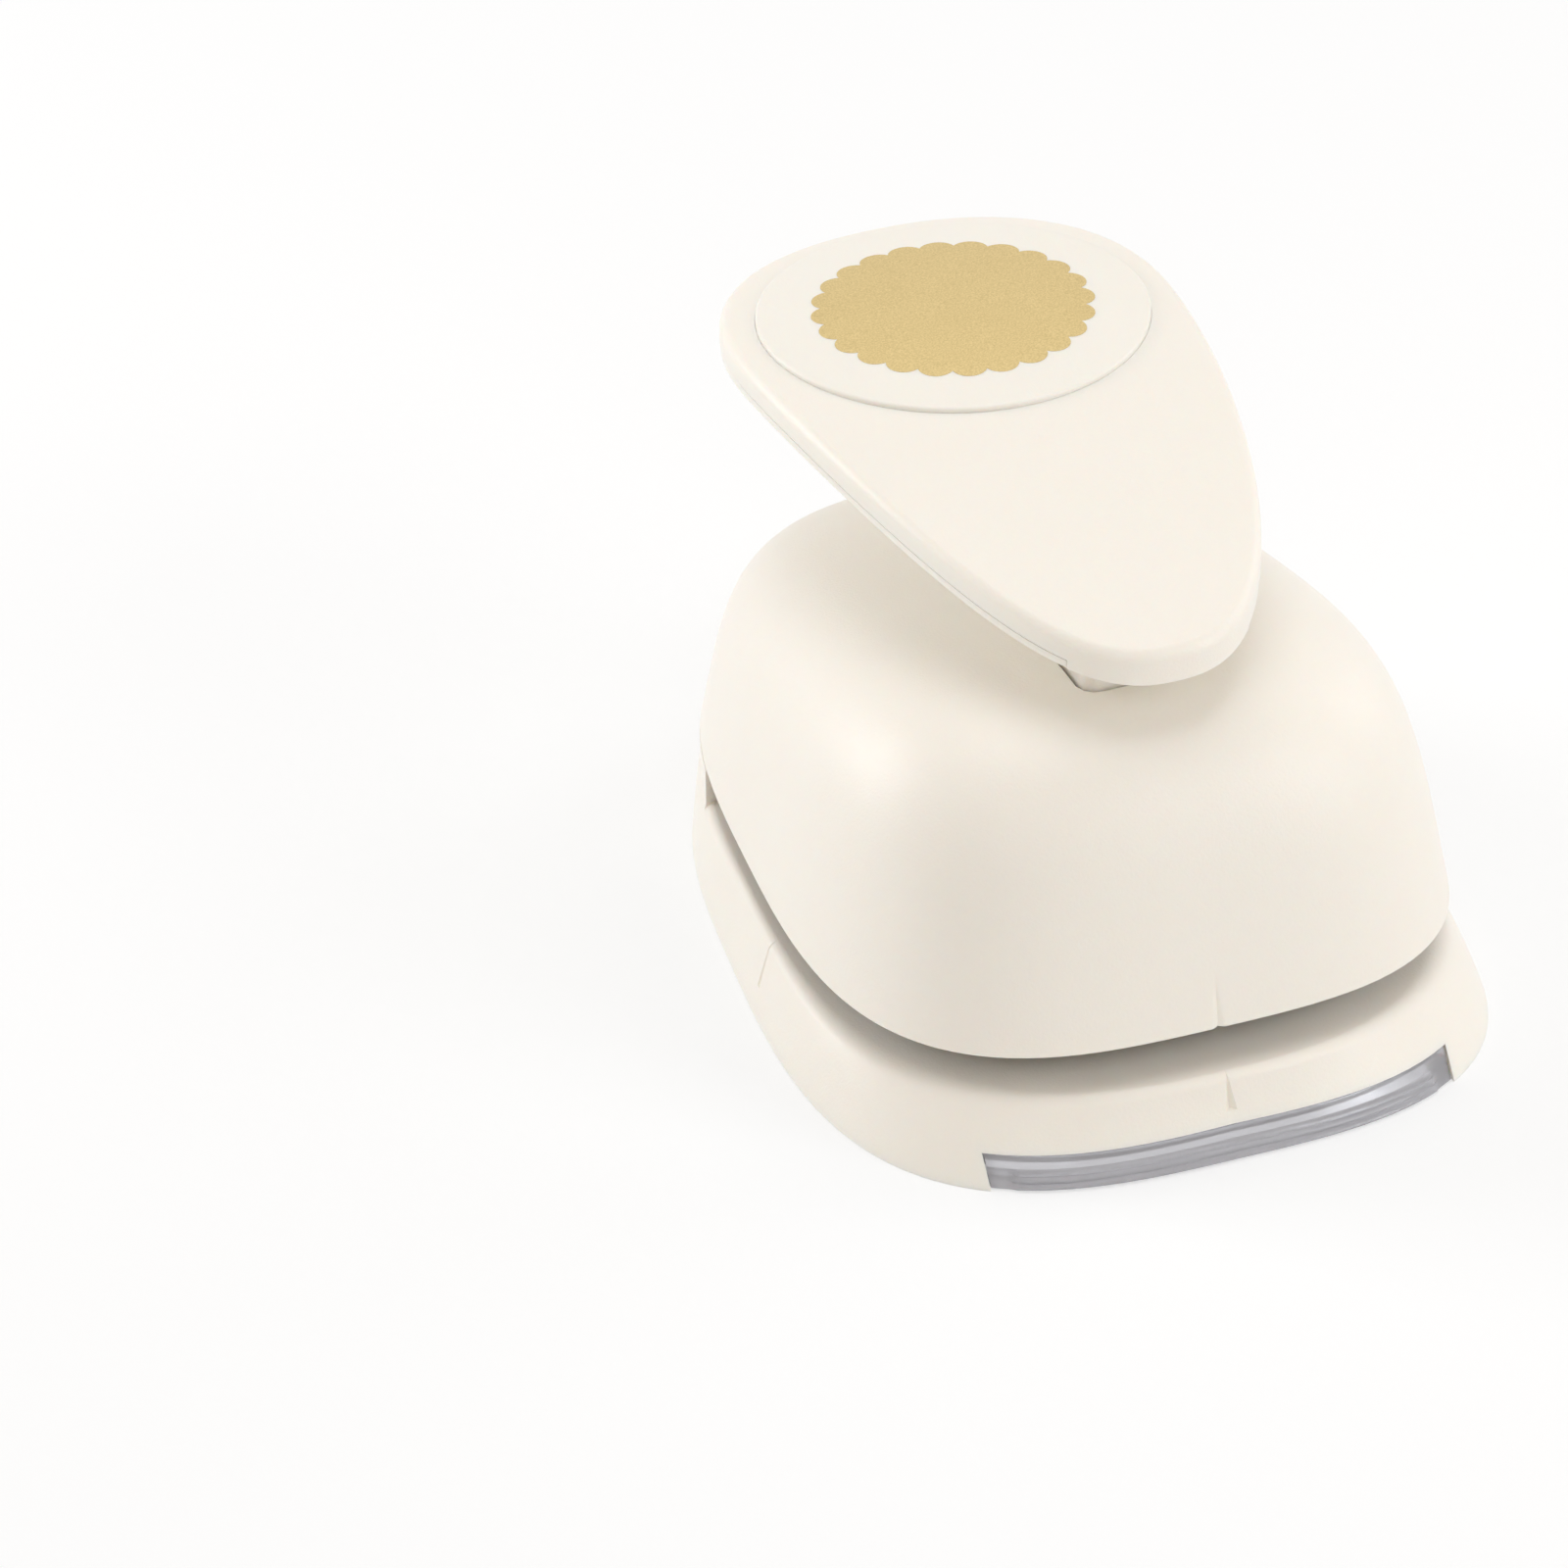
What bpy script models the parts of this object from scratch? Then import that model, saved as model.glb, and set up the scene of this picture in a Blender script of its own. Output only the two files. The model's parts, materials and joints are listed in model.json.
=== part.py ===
"""Lever craft punch for a scalloped circle, modelled as the separate pieces it is put together from.

Metres, +Z up, +X to the user's right. Paper goes in from -Y. Every place below is measured from the
axis of the die at table level. One empty then carries the whole punch, so that the middle of its
footprint lies on the origin.
"""
import math

import bmesh
import bpy
from mathutils import Matrix, Vector

# Fits
FIT_GAP = 0.0003
CUT_GAP = 0.0002
OVERRUN = 0.004

# The cut shape
SHAPE_RADIUS = 0.0380
SCALLOP_DEPTH = 0.0024
SCALLOP_COUNT = 24
SCALLOP_STEPS = 4

# Fasteners
SCREW_RADIUS = 0.0015
SCREW_HEAD_RADIUS = 0.0028
SCREW_HEAD_HEIGHT = 0.0016
SCREW_STEPS = 10
HOLE_STEPS = 12

# Die plate and guide plate, laid out round the cut shape, with the rivets and screws behind it
RIVET_MARGIN = 0.0080
RIVET_Y = SHAPE_RADIUS + RIVET_MARGIN
RIVET_HEAD_HEIGHT = 0.0010
REAR_SCREW_STEP = 0.0070
REAR_SCREW_Y = RIVET_Y + REAR_SCREW_STEP
REAR_SCREW_INSET = 0.0130
REAR_SCREW_SEAT = 0.0045
REAR_SCREW_REACH = 0.0100
PLATE_SIDE_MARGIN = 0.0050
PLATE_HALF_WIDTH = SHAPE_RADIUS + PLATE_SIDE_MARGIN
PLATE_MID = 0.0050
PLATE_BACK_MARGIN = 0.0130
PLATE_BACK = REAR_SCREW_Y + PLATE_BACK_MARGIN
PLATE_POWER = 6.0
PLATE_FRONT_POWER = 3.3
PLATE_TAPER_SHARE = 0.13
PLATE_STEPS = 36
PLATE_THICKNESS = 0.0020
REAR_SCREW_X = PLATE_HALF_WIDTH - REAR_SCREW_INSET
DIE_FRONT_MARGIN = 0.0055
DIE_FRONT = -SHAPE_RADIUS - DIE_FRONT_MARGIN
GUIDE_OVERHANG = 0.0065
GUIDE_FRONT = DIE_FRONT - GUIDE_OVERHANG
FRONT_SCREW_X = 0.0240
FRONT_SCREW_INSET = 0.0065
FRONT_SCREW_Y = GUIDE_FRONT + FRONT_SCREW_INSET
FRONT_SCREW_REACH = 0.0110
SPACER_THICKNESS = 0.0010
SPACER_SIDE_MARGIN = 0.0045
SPACER_INNER = REAR_SCREW_X - SPACER_SIDE_MARGIN
SPACER_OUTER = REAR_SCREW_X + SPACER_SIDE_MARGIN
SPACER_FRONT_MARGIN = 0.0035
SPACER_FRONT = RIVET_Y - SPACER_FRONT_MARGIN
SPACER_BACK_MARGIN = 0.0040
SPACER_BACK = REAR_SCREW_Y + SPACER_BACK_MARGIN
SPACER_CORNER = 0.0012

# Plan of the body, an egg that narrows to the rear
BODY_MID = 0.0167
BODY_SIDE_MARGIN = 0.0078
BODY_HALF_WIDTH = PLATE_HALF_WIDTH + BODY_SIDE_MARGIN
BODY_BACK_MARGIN = 0.0131
BODY_BACK = PLATE_BACK + BODY_BACK_MARGIN
BODY_POWER = 3.085
BODY_TAPER_SHARE = 0.136
BODY_STEPS = 48
CORNER_SHARE = 0.11

# Neck of the lever, where it passes into the dome
PIVOT_Y = -0.0240
NECK_HALF_WIDTH = 0.0101
NECK_FRONT_MARGIN = 0.0044
NECK_FRONT = PIVOT_Y - NECK_FRONT_MARGIN
NECK_BACK = -0.0020
NECK_EYE_RADIUS = 0.0053
NECK_CORNER = 0.0027

# Dome
DOME_FRONT_MARGIN = 0.00935
DOME_FRONT = GUIDE_FRONT - DOME_FRONT_MARGIN
DOME_COVER = 0.0035
DOME_WALL = 0.0022
DOME_POWER = 4.6
DOME_DRAFT_SHARE = 0.134
DOME_SHIFT = 0.00195
DOME_SLOPE_SHARE = -0.154
DOME_STEPS = 10
WINDOW_GAP = 0.0005
WINDOW_HALF_WIDTH = NECK_HALF_WIDTH + WINDOW_GAP
WINDOW_FRONT = NECK_FRONT - WINDOW_GAP
WINDOW_BACK = 0.0095
WINDOW_CORNER = 0.0032
DOME_BOSS_RADIUS = 0.0036
DOME_BOSS_CLIMB_SHARE = 0.02
DOME_RIB_THICKNESS = 0.0016
PILOT_DEPTH = 0.0150

# Base
BASE_SIDE_FLARE = 0.0029
BASE_HALF_WIDTH = BODY_HALF_WIDTH + BASE_SIDE_FLARE
DECK_OVERHANG = 0.00315
DECK_FRONT = DOME_FRONT - DECK_OVERHANG
BASE_FRONT_FLARE = 0.0065
BASE_FRONT = DECK_FRONT - BASE_FRONT_FLARE
BASE_BACK_FLARE = 0.0024
BASE_BACK = BODY_BACK + BASE_BACK_FLARE
BASE_FRONT_POWER = 3.0
BASE_BACK_POWER = 2.89
BASE_TAPER_SHARE = 0.165
BASE_WALL = 0.0024
DECK_POWER = 2.6
DECK_HEIGHT = 0.0125
DECK_FLOOR = 0.0020
DECK_EDGE_RADIUS = 0.0009
PAPER_SLOT_HEIGHT = 0.0066
FLARE_POWER = 1.6
FLARE_CORNER_POWER = 0.6
CHIP_HOLE_GAP = 0.0012
CHIP_HOLE_RADIUS = SHAPE_RADIUS + CHIP_HOLE_GAP
SHOULDER_MARGIN = 0.0026
SHOULDER_FRONT = CHIP_HOLE_RADIUS + SHOULDER_MARGIN
SHOULDER_END_WALL = 0.0022
BASE_BOSS_RADIUS = 0.0046
BASE_BOSS_LOW = 0.0010

# Chip tray, as wide as the hole that the shapes fall through, and its notch in the base
TRAY_HALF_WIDTH = CHIP_HOLE_RADIUS
TRAY_BACK_MARGIN = 0.0023
TRAY_BACK = CHIP_HOLE_RADIUS + TRAY_BACK_MARGIN
TRAY_FLOOR = 0.0010
TRAY_WALL = 0.0010
TRAY_FACE_INSET = 0.0048
TRAY_LIP_DEPTH = 0.0030
TRAY_LIP_LOW = 0.0003
TRAY_RIDGE_COUNT = 3
TRAY_RIDGE_DEPTH = 0.0008
TRAY_STEPS = 20
TRAY_LIP_SWEEP = math.radians(62)
NOTCH_GAP = 0.0005
NOTCH_HALF_WIDTH = TRAY_HALF_WIDTH + NOTCH_GAP
NOTCH_HEIGHT = 0.0050
NOTCH_DEPTH = 0.0200

# Rails that carry the chip tray
RAIL_THICKNESS = 0.0018
RAIL_LIP_REACH = 0.0022
RAIL_LIP_LOW = 0.0003
RAIL_LIP_THICKNESS = 0.0010
RAIL_FRONT_INSET = 0.0005
RAIL_FRONT = DIE_FRONT + RAIL_FRONT_INSET

# Alignment marks
BASE_MARK_DROP = 0.0057
BASE_MARK_HALF_WIDTH = 0.0010
BASE_MARK_DEPTH = 0.0011
BASE_MARK_TOP_SHARE = 0.1
SIDE_MARK_DROP = 0.0080
SIDE_MARK_HALF_WIDTH = 0.0005
SIDE_MARK_DEPTH = 0.0006
SIDE_MARK_TOP_SHARE = 0.4
DOME_MARK_RISE = 0.0075
DOME_MARK_HALF_WIDTH = 0.0010
DOME_MARK_DEPTH = 0.0006
DOME_MARK_TOP_SHARE = 0.25
DOME_MARK_CLIMB_SHARE = 0.1

# Punch and carrier
PUNCH_THICKNESS = 0.0100
PUNCH_SHEAR = 0.0012
PUNCH_POCKET_FLOOR = 0.0050
CARRIER_FLANGE_INSET = 0.0022
CARRIER_FLANGE_RADIUS = SHAPE_RADIUS - CARRIER_FLANGE_INSET
CARRIER_FLANGE_THICKNESS = 0.0025
CARRIER_FLANGE_WIDTH = 0.0053
CARRIER_SKIRT_RADIUS = CARRIER_FLANGE_RADIUS - CARRIER_FLANGE_WIDTH
CARRIER_SKIRT_WALL = 0.0025
PUNCH_POCKET_RADIUS = CARRIER_SKIRT_RADIUS - CARRIER_SKIRT_WALL
CARRIER_HEIGHT = 0.0163
CARRIER_TOP_THICKNESS = 0.0030
CARRIER_BOSS_RADIUS = 0.0100
CARRIER_BOSS_HEIGHT = 0.0065
CARRIER_BOSS_DRAFT = 0.0015
CARRIER_STEPS = 28
CARRIER_SCREW_INSET = 0.0026
CARRIER_SCREW_PLACE = CARRIER_FLANGE_RADIUS - CARRIER_SCREW_INSET
CARRIER_SCREW_REACH = 0.0040
CARRIER_SCREW_RADIUS = 0.0011
CARRIER_SCREW_HEAD_RADIUS = 0.0021
CARRIER_SCREW_HEAD_HEIGHT = 0.0014
ARM_RADIUS = 0.0060
ARM_THICKNESS = 0.0030
ARM_DROP = 0.0006
PAD_RADIUS = 0.0070
PAD_THICKNESS = 0.0020
PAD_EDGE = 0.0006
PAD_STEM_RADIUS = 0.0025
PAD_STEM_LENGTH = 0.0040

# Guide posts and return springs
POST_MARGIN = 0.0080
POST_PLACE = (SHAPE_RADIUS + POST_MARGIN) / math.sqrt(2)
POST_RADIUS = 0.0020
POST_FLANGE_RADIUS = 0.0042
POST_FLANGE_THICKNESS = 0.0010
POST_REACH = 0.0035
SPRING_COIL_RADIUS = 0.0032
SPRING_WIRE_RADIUS = 0.0005
SPRING_TURNS = 6
SPRING_TURN_POINTS = 8
WIRE_SIDES = 6
SPRING_END_PITCH = 0.0016

# Pivot bracket and pin
PIVOT_RISE = 0.0082
BRACKET_GAUGE = 0.0016
BRACKET_SIDE_GAP = 0.0004
BRACKET_INNER = NECK_HALF_WIDTH + BRACKET_SIDE_GAP
BRACKET_FRONT_INSET = 0.0025
BRACKET_FRONT = GUIDE_FRONT + BRACKET_FRONT_INSET
BRACKET_FOOT_LENGTH = 0.0080
BRACKET_REAR = BRACKET_FRONT + BRACKET_FOOT_LENGTH
BRACKET_WEB_RISE = 0.0050
BRACKET_ARM_DROP = 0.0010
BRACKET_EYE_RADIUS = 0.0052
BRACKET_FOOT_REACH = 0.0072
PIN_RADIUS = 0.0025
PIN_OVERHANG = 0.0026
PIN_HEAD_RADIUS = 0.0038
PIN_HEAD_THICKNESS = 0.0014
CLIP_THICKNESS = 0.0008
CLIP_RADIUS = 0.0043
CLIP_GROOVE_DEPTH = 0.0006
CLIP_MOUTH_HALF_WIDTH = 0.0012

# Lever plan and crowned top
LEVER_HALF_WIDTH = 0.0369
LEVER_MID = 0.0487
LEVER_FRONT = -0.0413
LEVER_BACK = 0.0863
LEVER_FRONT_POWER = 1.54
LEVER_FRONT_ROUND_SHARE = 0.415
LEVER_BACK_POWER = 2.32
LEVER_LIFT = 0.0295
LEVER_TOP_PEAK = 0.0398
LEVER_FRONT_DROP = 0.0124
LEVER_BACK_DROP = 0.0048
LEVER_SIDE_DROP = 0.0018
LEVER_WALL = 0.0022
LEVER_EDGE_RADIUS = 0.0018
LEVER_SKIRT = 0.0040
LEVER_CHIN_DEPTH = 0.0015
LEVER_CHIN_Y = -0.0340
LEVER_STEPS = 52
UNDERPLATE_THICKNESS = 0.0012
UNDERPLATE_STEPS = 16

# Nose of the lever and its beam
NOSE_RADIUS = 0.0060
BEAM_FRONT = -0.0345
BEAM_BACK = 0.0500
BEAM_STEPS = 6
ARC_STEPS = 6
LEVER_SCREWS = ((-0.0235, 0.0330), (0.0235, 0.0330), (0.0, 0.0705))
BEAM_SCREWS = ((0.0, 0.0080), (0.0, 0.0400))
LEVER_BOSS_RADIUS = 0.0036
LEVER_SCREW_HEAD_HEIGHT = 0.0007
LEVER_SCREW_BITE_SHARE = 0.6

# Disc on the lever
DISC_RADIUS = 0.03185
DISC_Y = 0.0501
DISC_RISE = 0.0010
DISC_SEAT = 0.0006
DISC_EDGE = 0.0004
DISC_STEPS = 44

# Heights that follow from the pieces
POCKET_HEIGHT = DECK_HEIGHT - PLATE_THICKNESS - FIT_GAP
DIE_LOW = POCKET_HEIGHT + FIT_GAP
SPACER_LOW = DECK_HEIGHT + FIT_GAP
GUIDE_LOW = SPACER_LOW + SPACER_THICKNESS + FIT_GAP
GUIDE_TOP = GUIDE_LOW + PLATE_THICKNESS
GUIDE_SEAT = GUIDE_TOP + FIT_GAP
RIM_HEIGHT = DECK_HEIGHT + PAPER_SLOT_HEIGHT
PUNCH_LOW = GUIDE_LOW + FIT_GAP
PUNCH_TOP = PUNCH_LOW + PUNCH_THICKNESS
CARRIER_LOW = PUNCH_TOP + FIT_GAP
CARRIER_TOP = CARRIER_LOW + CARRIER_HEIGHT
BOSS_TOP = CARRIER_TOP + CARRIER_BOSS_HEIGHT
PAD_LOW = BOSS_TOP + FIT_GAP
PAD_TOP = PAD_LOW + PAD_THICKNESS
NOSE_HEIGHT = PAD_TOP + FIT_GAP + NOSE_RADIUS
ARM_TOP = CARRIER_TOP - ARM_DROP
ARM_LOW = ARM_TOP - ARM_THICKNESS
POST_TOP = ARM_TOP + POST_REACH
SPRING_LOW = GUIDE_SEAT + POST_FLANGE_THICKNESS + FIT_GAP
SPRING_TOP = ARM_LOW - FIT_GAP
PIVOT_HEIGHT = PAD_TOP + PIVOT_RISE
BRACKET_WEB_TOP = CARRIER_TOP + BRACKET_WEB_RISE
BRACKET_ARM_REAR = CARRIER_TOP - BRACKET_ARM_DROP
DOME_HEIGHT = PIVOT_HEIGHT + DOME_COVER
LEVER_TOP = DOME_HEIGHT + LEVER_LIFT
HOLLOW_TOP = POCKET_HEIGHT - DECK_FLOOR
TRAY_LOW = RAIL_LIP_LOW + RAIL_LIP_THICKNESS + FIT_GAP
TRAY_TOP = NOTCH_HEIGHT - FIT_GAP
RAIL_INNER = TRAY_HALF_WIDTH + FIT_GAP

DOME_PLAN = (BODY_HALF_WIDTH, DOME_FRONT, BODY_MID, BODY_BACK, BODY_POWER, BODY_POWER, BODY_TAPER_SHARE)
DECK_PLAN = (BODY_HALF_WIDTH, DECK_FRONT, BODY_MID, BODY_BACK, DECK_POWER, BODY_POWER, BODY_TAPER_SHARE)
SKIRT_PLAN = (BASE_HALF_WIDTH, BASE_FRONT, BODY_MID, BASE_BACK, BASE_FRONT_POWER, BASE_BACK_POWER,
              BASE_TAPER_SHARE)
DIE_PLAN = (PLATE_HALF_WIDTH, DIE_FRONT, PLATE_MID, PLATE_BACK, PLATE_FRONT_POWER, PLATE_POWER,
            PLATE_TAPER_SHARE)
GUIDE_PLAN = (PLATE_HALF_WIDTH, GUIDE_FRONT, PLATE_MID, PLATE_BACK, PLATE_FRONT_POWER, PLATE_POWER,
              PLATE_TAPER_SHARE)

# Colours in linear light, roughness, metallic
IVORY = ((0.87, 0.82, 0.73), 0.42, 0.0)
CLEAR = ((0.62, 0.66, 0.72), 0.15, 0.0)
GREY_PLASTIC = ((0.18, 0.18, 0.19), 0.5, 0.0)
STEEL = ((0.56, 0.57, 0.58), 0.3, 1.0)
TOOL_STEEL = ((0.40, 0.41, 0.43), 0.25, 1.0)
SPRING_STEEL = ((0.50, 0.50, 0.51), 0.28, 1.0)
SHARP_ANGLE = math.radians(32)


def signed_power(value, power):
    """Power of a number that keeps the number's sign."""
    return math.copysign(abs(value) ** power, value)


def blend(start, end, share):
    """Value that lies the given share of the way from start to end."""
    return start + (end - start) * share


def directions(count):
    """Evenly spaced angles round a full turn."""
    return [2 * math.pi * i / count for i in range(count)]


def egg_directions(steps):
    """Directions round an egg-shaped plan, closer together at its corners."""
    return [angle + CORNER_SHARE * math.sin(4 * angle) for angle in directions(steps)]


def egg_point(angle, plan, inset=0.0):
    """Point of an egg-shaped plan, drawn in by inset, seen from its middle in the direction angle."""
    half_width, front, mid, back, front_power, back_power, taper = plan
    cosine, sine = math.cos(angle), math.sin(angle)
    power = back_power if sine > 0 else front_power
    rear = back - inset - mid
    length = rear if sine > 0 else mid - front - inset
    wide = abs(cosine / (half_width - inset)) ** power
    radius = (wide + abs(sine / length) ** power) ** (-1 / power)
    y = radius * sine
    return radius * cosine * (1 - taper * y / rear), mid + y


def egg_outline(plan, inset=0.0, steps=BODY_STEPS):
    """All points of an egg-shaped plan."""
    return [egg_point(angle, plan, inset) for angle in egg_directions(steps)]


def circle(x, y, radius, steps=HOLE_STEPS, start=0.0):
    """Points of a circle in plan."""
    return [(x + radius * math.cos(start + a), y + radius * math.sin(start + a)) for a in directions(steps)]


def rounded_rectangle(left, right, front, back, corner, steps=4):
    """Rectangle in plan with round corners."""
    centres = ((right - corner, back - corner, 0), (left + corner, back - corner, 1),
               (left + corner, front + corner, 2), (right - corner, front + corner, 3))
    points = []
    for x, y, quarter in centres:
        for i in range(steps + 1):
            angle = (quarter + i / steps) * math.pi / 2
            points.append((x + corner * math.cos(angle), y + corner * math.sin(angle)))
    return points


def scallops(offset):
    """Outline of the cut shape, let out by offset: equal round lobes that meet in sharp corners."""
    half_pitch = math.pi / SCALLOP_COUNT
    valley = SHAPE_RADIUS - SCALLOP_DEPTH
    half_chord = valley * math.sin(half_pitch)
    rise = SHAPE_RADIUS - valley * math.cos(half_pitch)
    lobe = (half_chord ** 2 + rise ** 2) / (2 * rise)
    centre = SHAPE_RADIUS - lobe
    sweep = math.atan2(half_chord, valley * math.cos(half_pitch) - centre)
    points = []
    for i in range(SCALLOP_COUNT):
        middle = 2 * math.pi * i / SCALLOP_COUNT
        for step in range(SCALLOP_STEPS):
            turn = blend(-sweep, sweep, step / SCALLOP_STEPS)
            x = centre + lobe * math.cos(turn)
            y = lobe * math.sin(turn)
            radius = math.hypot(x, y) + offset
            angle = middle + math.atan2(y, x)
            points.append((radius * math.cos(angle), radius * math.sin(angle)))
    return points


def new_object(name, mesh_data):
    """Link a mesh to the scene with its faces pointing out."""
    shape = bmesh.new()
    shape.from_mesh(mesh_data)
    bmesh.ops.recalc_face_normals(shape, faces=shape.faces)
    shape.to_mesh(mesh_data)
    shape.free()
    item = bpy.data.objects.new(name, mesh_data)
    bpy.context.scene.collection.objects.link(item)
    return item


def loft(name, rings):
    """Closed solid through rings of equally many points, with the first and last ring filled."""
    shape = bmesh.new()
    loops = [[shape.verts.new(point) for point in ring] for ring in rings]
    for lower, upper in zip(loops, loops[1:]):
        for i in range(len(lower)):
            j = (i + 1) % len(lower)
            shape.faces.new((lower[i], lower[j], upper[j], upper[i]))
    shape.faces.new(list(reversed(loops[0])))
    shape.faces.new(loops[-1])
    mesh_data = bpy.data.meshes.new(name)
    shape.to_mesh(mesh_data)
    shape.free()
    return new_object(name, mesh_data)


def prism(name, outline, low, high):
    """Upright solid over an outline in plan."""
    return loft(name, [[(x, y, z) for x, y in outline] for z in (low, high)])


def side_plate(name, outline, left, right):
    """Solid over an outline in the YZ plane, from left to right."""
    return loft(name, [[(x, y, z) for y, z in outline] for x in (left, right)])


def box(name, left, right, front, back, low, high):
    """Plain rectangular solid."""
    return prism(name, [(left, front), (right, front), (right, back), (left, back)], low, high)


def turned(name, profile, x, y, steps):
    """Solid turned about an upright axis from (radius, height) points that begin and end on it."""
    shape = bmesh.new()
    foot = shape.verts.new((x, y, profile[0][1]))
    head = shape.verts.new((x, y, profile[-1][1]))
    loops = []
    for radius, height in profile[1:-1]:
        loops.append([shape.verts.new((px, py, height)) for px, py in circle(x, y, radius, steps)])
    for i in range(steps):
        j = (i + 1) % steps
        shape.faces.new((foot, loops[0][j], loops[0][i]))
        shape.faces.new((head, loops[-1][i], loops[-1][j]))
        for lower, upper in zip(loops, loops[1:]):
            shape.faces.new((lower[i], lower[j], upper[j], upper[i]))
    mesh_data = bpy.data.meshes.new(name)
    shape.to_mesh(mesh_data)
    shape.free()
    return new_object(name, mesh_data)


def wire(name, points, radius):
    """Wire along points that never run straight up, with closed ends."""
    rings = []
    last = len(points) - 1
    for i, point in enumerate(points):
        along = Vector(points[min(i + 1, last)]) - Vector(points[max(i - 1, 0)])
        side = along.cross(Vector((0, 0, 1))).normalized()
        up = side.cross(along).normalized()
        rings.append([Vector(point) + (side * math.cos(a) + up * math.sin(a)) * radius
                      for a in directions(WIRE_SIDES)])
    return loft(name, rings)


def combine(target, tools, operation):
    """Join, cut or trim target with each tool, which is used up."""
    for tool in tools:
        boolean = target.modifiers.new(operation, "BOOLEAN")
        boolean.operation = operation
        boolean.solver = "EXACT"
        boolean.object = tool
        bpy.context.view_layer.update()
        graph = bpy.context.evaluated_depsgraph_get()
        result = bpy.data.meshes.new_from_object(target.evaluated_get(graph))
        target.modifiers.clear()
        former = target.data
        target.data = result
        bpy.data.meshes.remove(former)
        bpy.data.objects.remove(tool)
    return target


def subtract(target, *tools):
    """Cut the tools out of target."""
    return combine(target, tools, "DIFFERENCE")


def unite(target, *tools):
    """Join the tools to target."""
    return combine(target, tools, "UNION")


def drill(target, places, radius, low, high, steps=HOLE_STEPS):
    """Cut upright round holes at places in plan."""
    cutters = [prism("drill", circle(x, y, radius, steps, math.pi / steps), low, high) for x, y in places]
    return subtract(target, *cutters)


def finish(item, look, carrier):
    """Give a piece its material, shade it and hang it on the empty that carries it."""
    colour, roughness, metallic = look
    material = bpy.data.materials.new(item.name)
    material.use_nodes = True
    shader = material.node_tree.nodes["Principled BSDF"]
    shader.inputs["Base Color"].default_value = (*colour, 1)
    shader.inputs["Roughness"].default_value = roughness
    shader.inputs["Metallic"].default_value = metallic
    item.data.materials.clear()
    item.data.materials.append(material)
    item.data.transform(Matrix.Translation(-Vector(carrier["anchor"])))
    item.data.shade_smooth()
    item.data.set_sharp_from_angle(angle=SHARP_ANGLE)
    item.parent = carrier
    return item


def empty(name, anchor, parent=None):
    """Empty whose place, measured from the die's axis, is kept as its anchor."""
    item = bpy.data.objects.new(name, None)
    bpy.context.scene.collection.objects.link(item)
    item["anchor"] = anchor
    if parent:
        item.parent = parent
        item.location = Vector(anchor) - Vector(parent["anchor"])
    return item


def dome_ring(climb, inset):
    """Ring of the dome part of the way up: climb runs from 0 at the rim to 1 at the crown."""
    angle = climb * math.pi / 2
    across, up = math.cos(angle), math.sin(angle)
    reach = (across ** DOME_POWER + up ** DOME_POWER) ** (-1 / DOME_POWER)
    rise = up * reach
    scale = across * reach * (1 - DOME_DRAFT_SHARE * rise)
    crown = DOME_HEIGHT - inset
    ring = []
    for x, y in egg_outline(DOME_PLAN, inset):
        run = DOME_SHIFT * rise + (y - BODY_MID) * scale
        height = blend(RIM_HEIGHT, crown, rise) + DOME_SLOPE_SHARE * rise * run
        ring.append((x * scale, BODY_MID + run, height))
    return ring


def dome_rings(inset, steps):
    """Rings of the dome from its rim up to just short of its crown."""
    return [dome_ring(i / (steps + 0.5), inset) for i in range(steps + 1)]


def base_point(angle, height, inset=0.0):
    """Point of the base's outer wall, whose skirt flares out below the deck, fuller at the corners."""
    power = blend(FLARE_POWER, FLARE_CORNER_POWER, abs(math.sin(2 * angle)))
    share = max(0.0, (DECK_HEIGHT - height) / DECK_HEIGHT) ** power
    top, bottom = egg_point(angle, DECK_PLAN, inset), egg_point(angle, SKIRT_PLAN, inset)
    return blend(top[0], bottom[0], share), blend(top[1], bottom[1], share), height


def base_ring(height, inset=0.0):
    """Ring of the base's outer wall at one height."""
    return [base_point(angle, height, inset) for angle in egg_directions(BODY_STEPS)]


def mark_cutter(name, facing, low, high, face_low, face_high, width_low, width_high, depth_share):
    """Groove that widens downwards, cut into a wall whose face lies face_low and face_high away."""
    out = Vector((math.cos(facing), math.sin(facing), 0))
    side = Vector((-out.y, out.x, 0))
    rings = []
    for height, face, width in ((low, face_low, width_low), (high, face_high, width_high)):
        depth = width * depth_share
        spread = width * (1 + OVERRUN / depth)
        outer = out * (face + OVERRUN)
        ring = [outer - side * spread, outer + side * spread, out * (face - depth)]
        rings.append([point + Vector((0, 0, height)) for point in ring])
    return loft(name, rings)


def base_marks():
    """Cutters for the marks that line up with the die's axis: a wedge in front, a groove on both sides."""
    low, high = DECK_HEIGHT - BASE_MARK_DROP, DECK_HEIGHT + FIT_GAP
    near, far = [-base_point(-math.pi / 2, height)[1] for height in (low, DECK_HEIGHT)]
    marks = [mark_cutter("mark", -math.pi / 2, low, high, near, far, BASE_MARK_HALF_WIDTH,
                         BASE_MARK_HALF_WIDTH * BASE_MARK_TOP_SHARE, BASE_MARK_DEPTH / BASE_MARK_HALF_WIDTH)]
    low = DECK_HEIGHT - SIDE_MARK_DROP
    near, far = [base_point(base_angle_at_axis(height), height)[0] for height in (low, DECK_HEIGHT)]
    for facing in (0, math.pi):
        marks.append(mark_cutter("mark", facing, low, high, near, far, SIDE_MARK_HALF_WIDTH,
                                 SIDE_MARK_HALF_WIDTH * SIDE_MARK_TOP_SHARE,
                                 SIDE_MARK_DEPTH / SIDE_MARK_HALF_WIDTH))
    return marks


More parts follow.
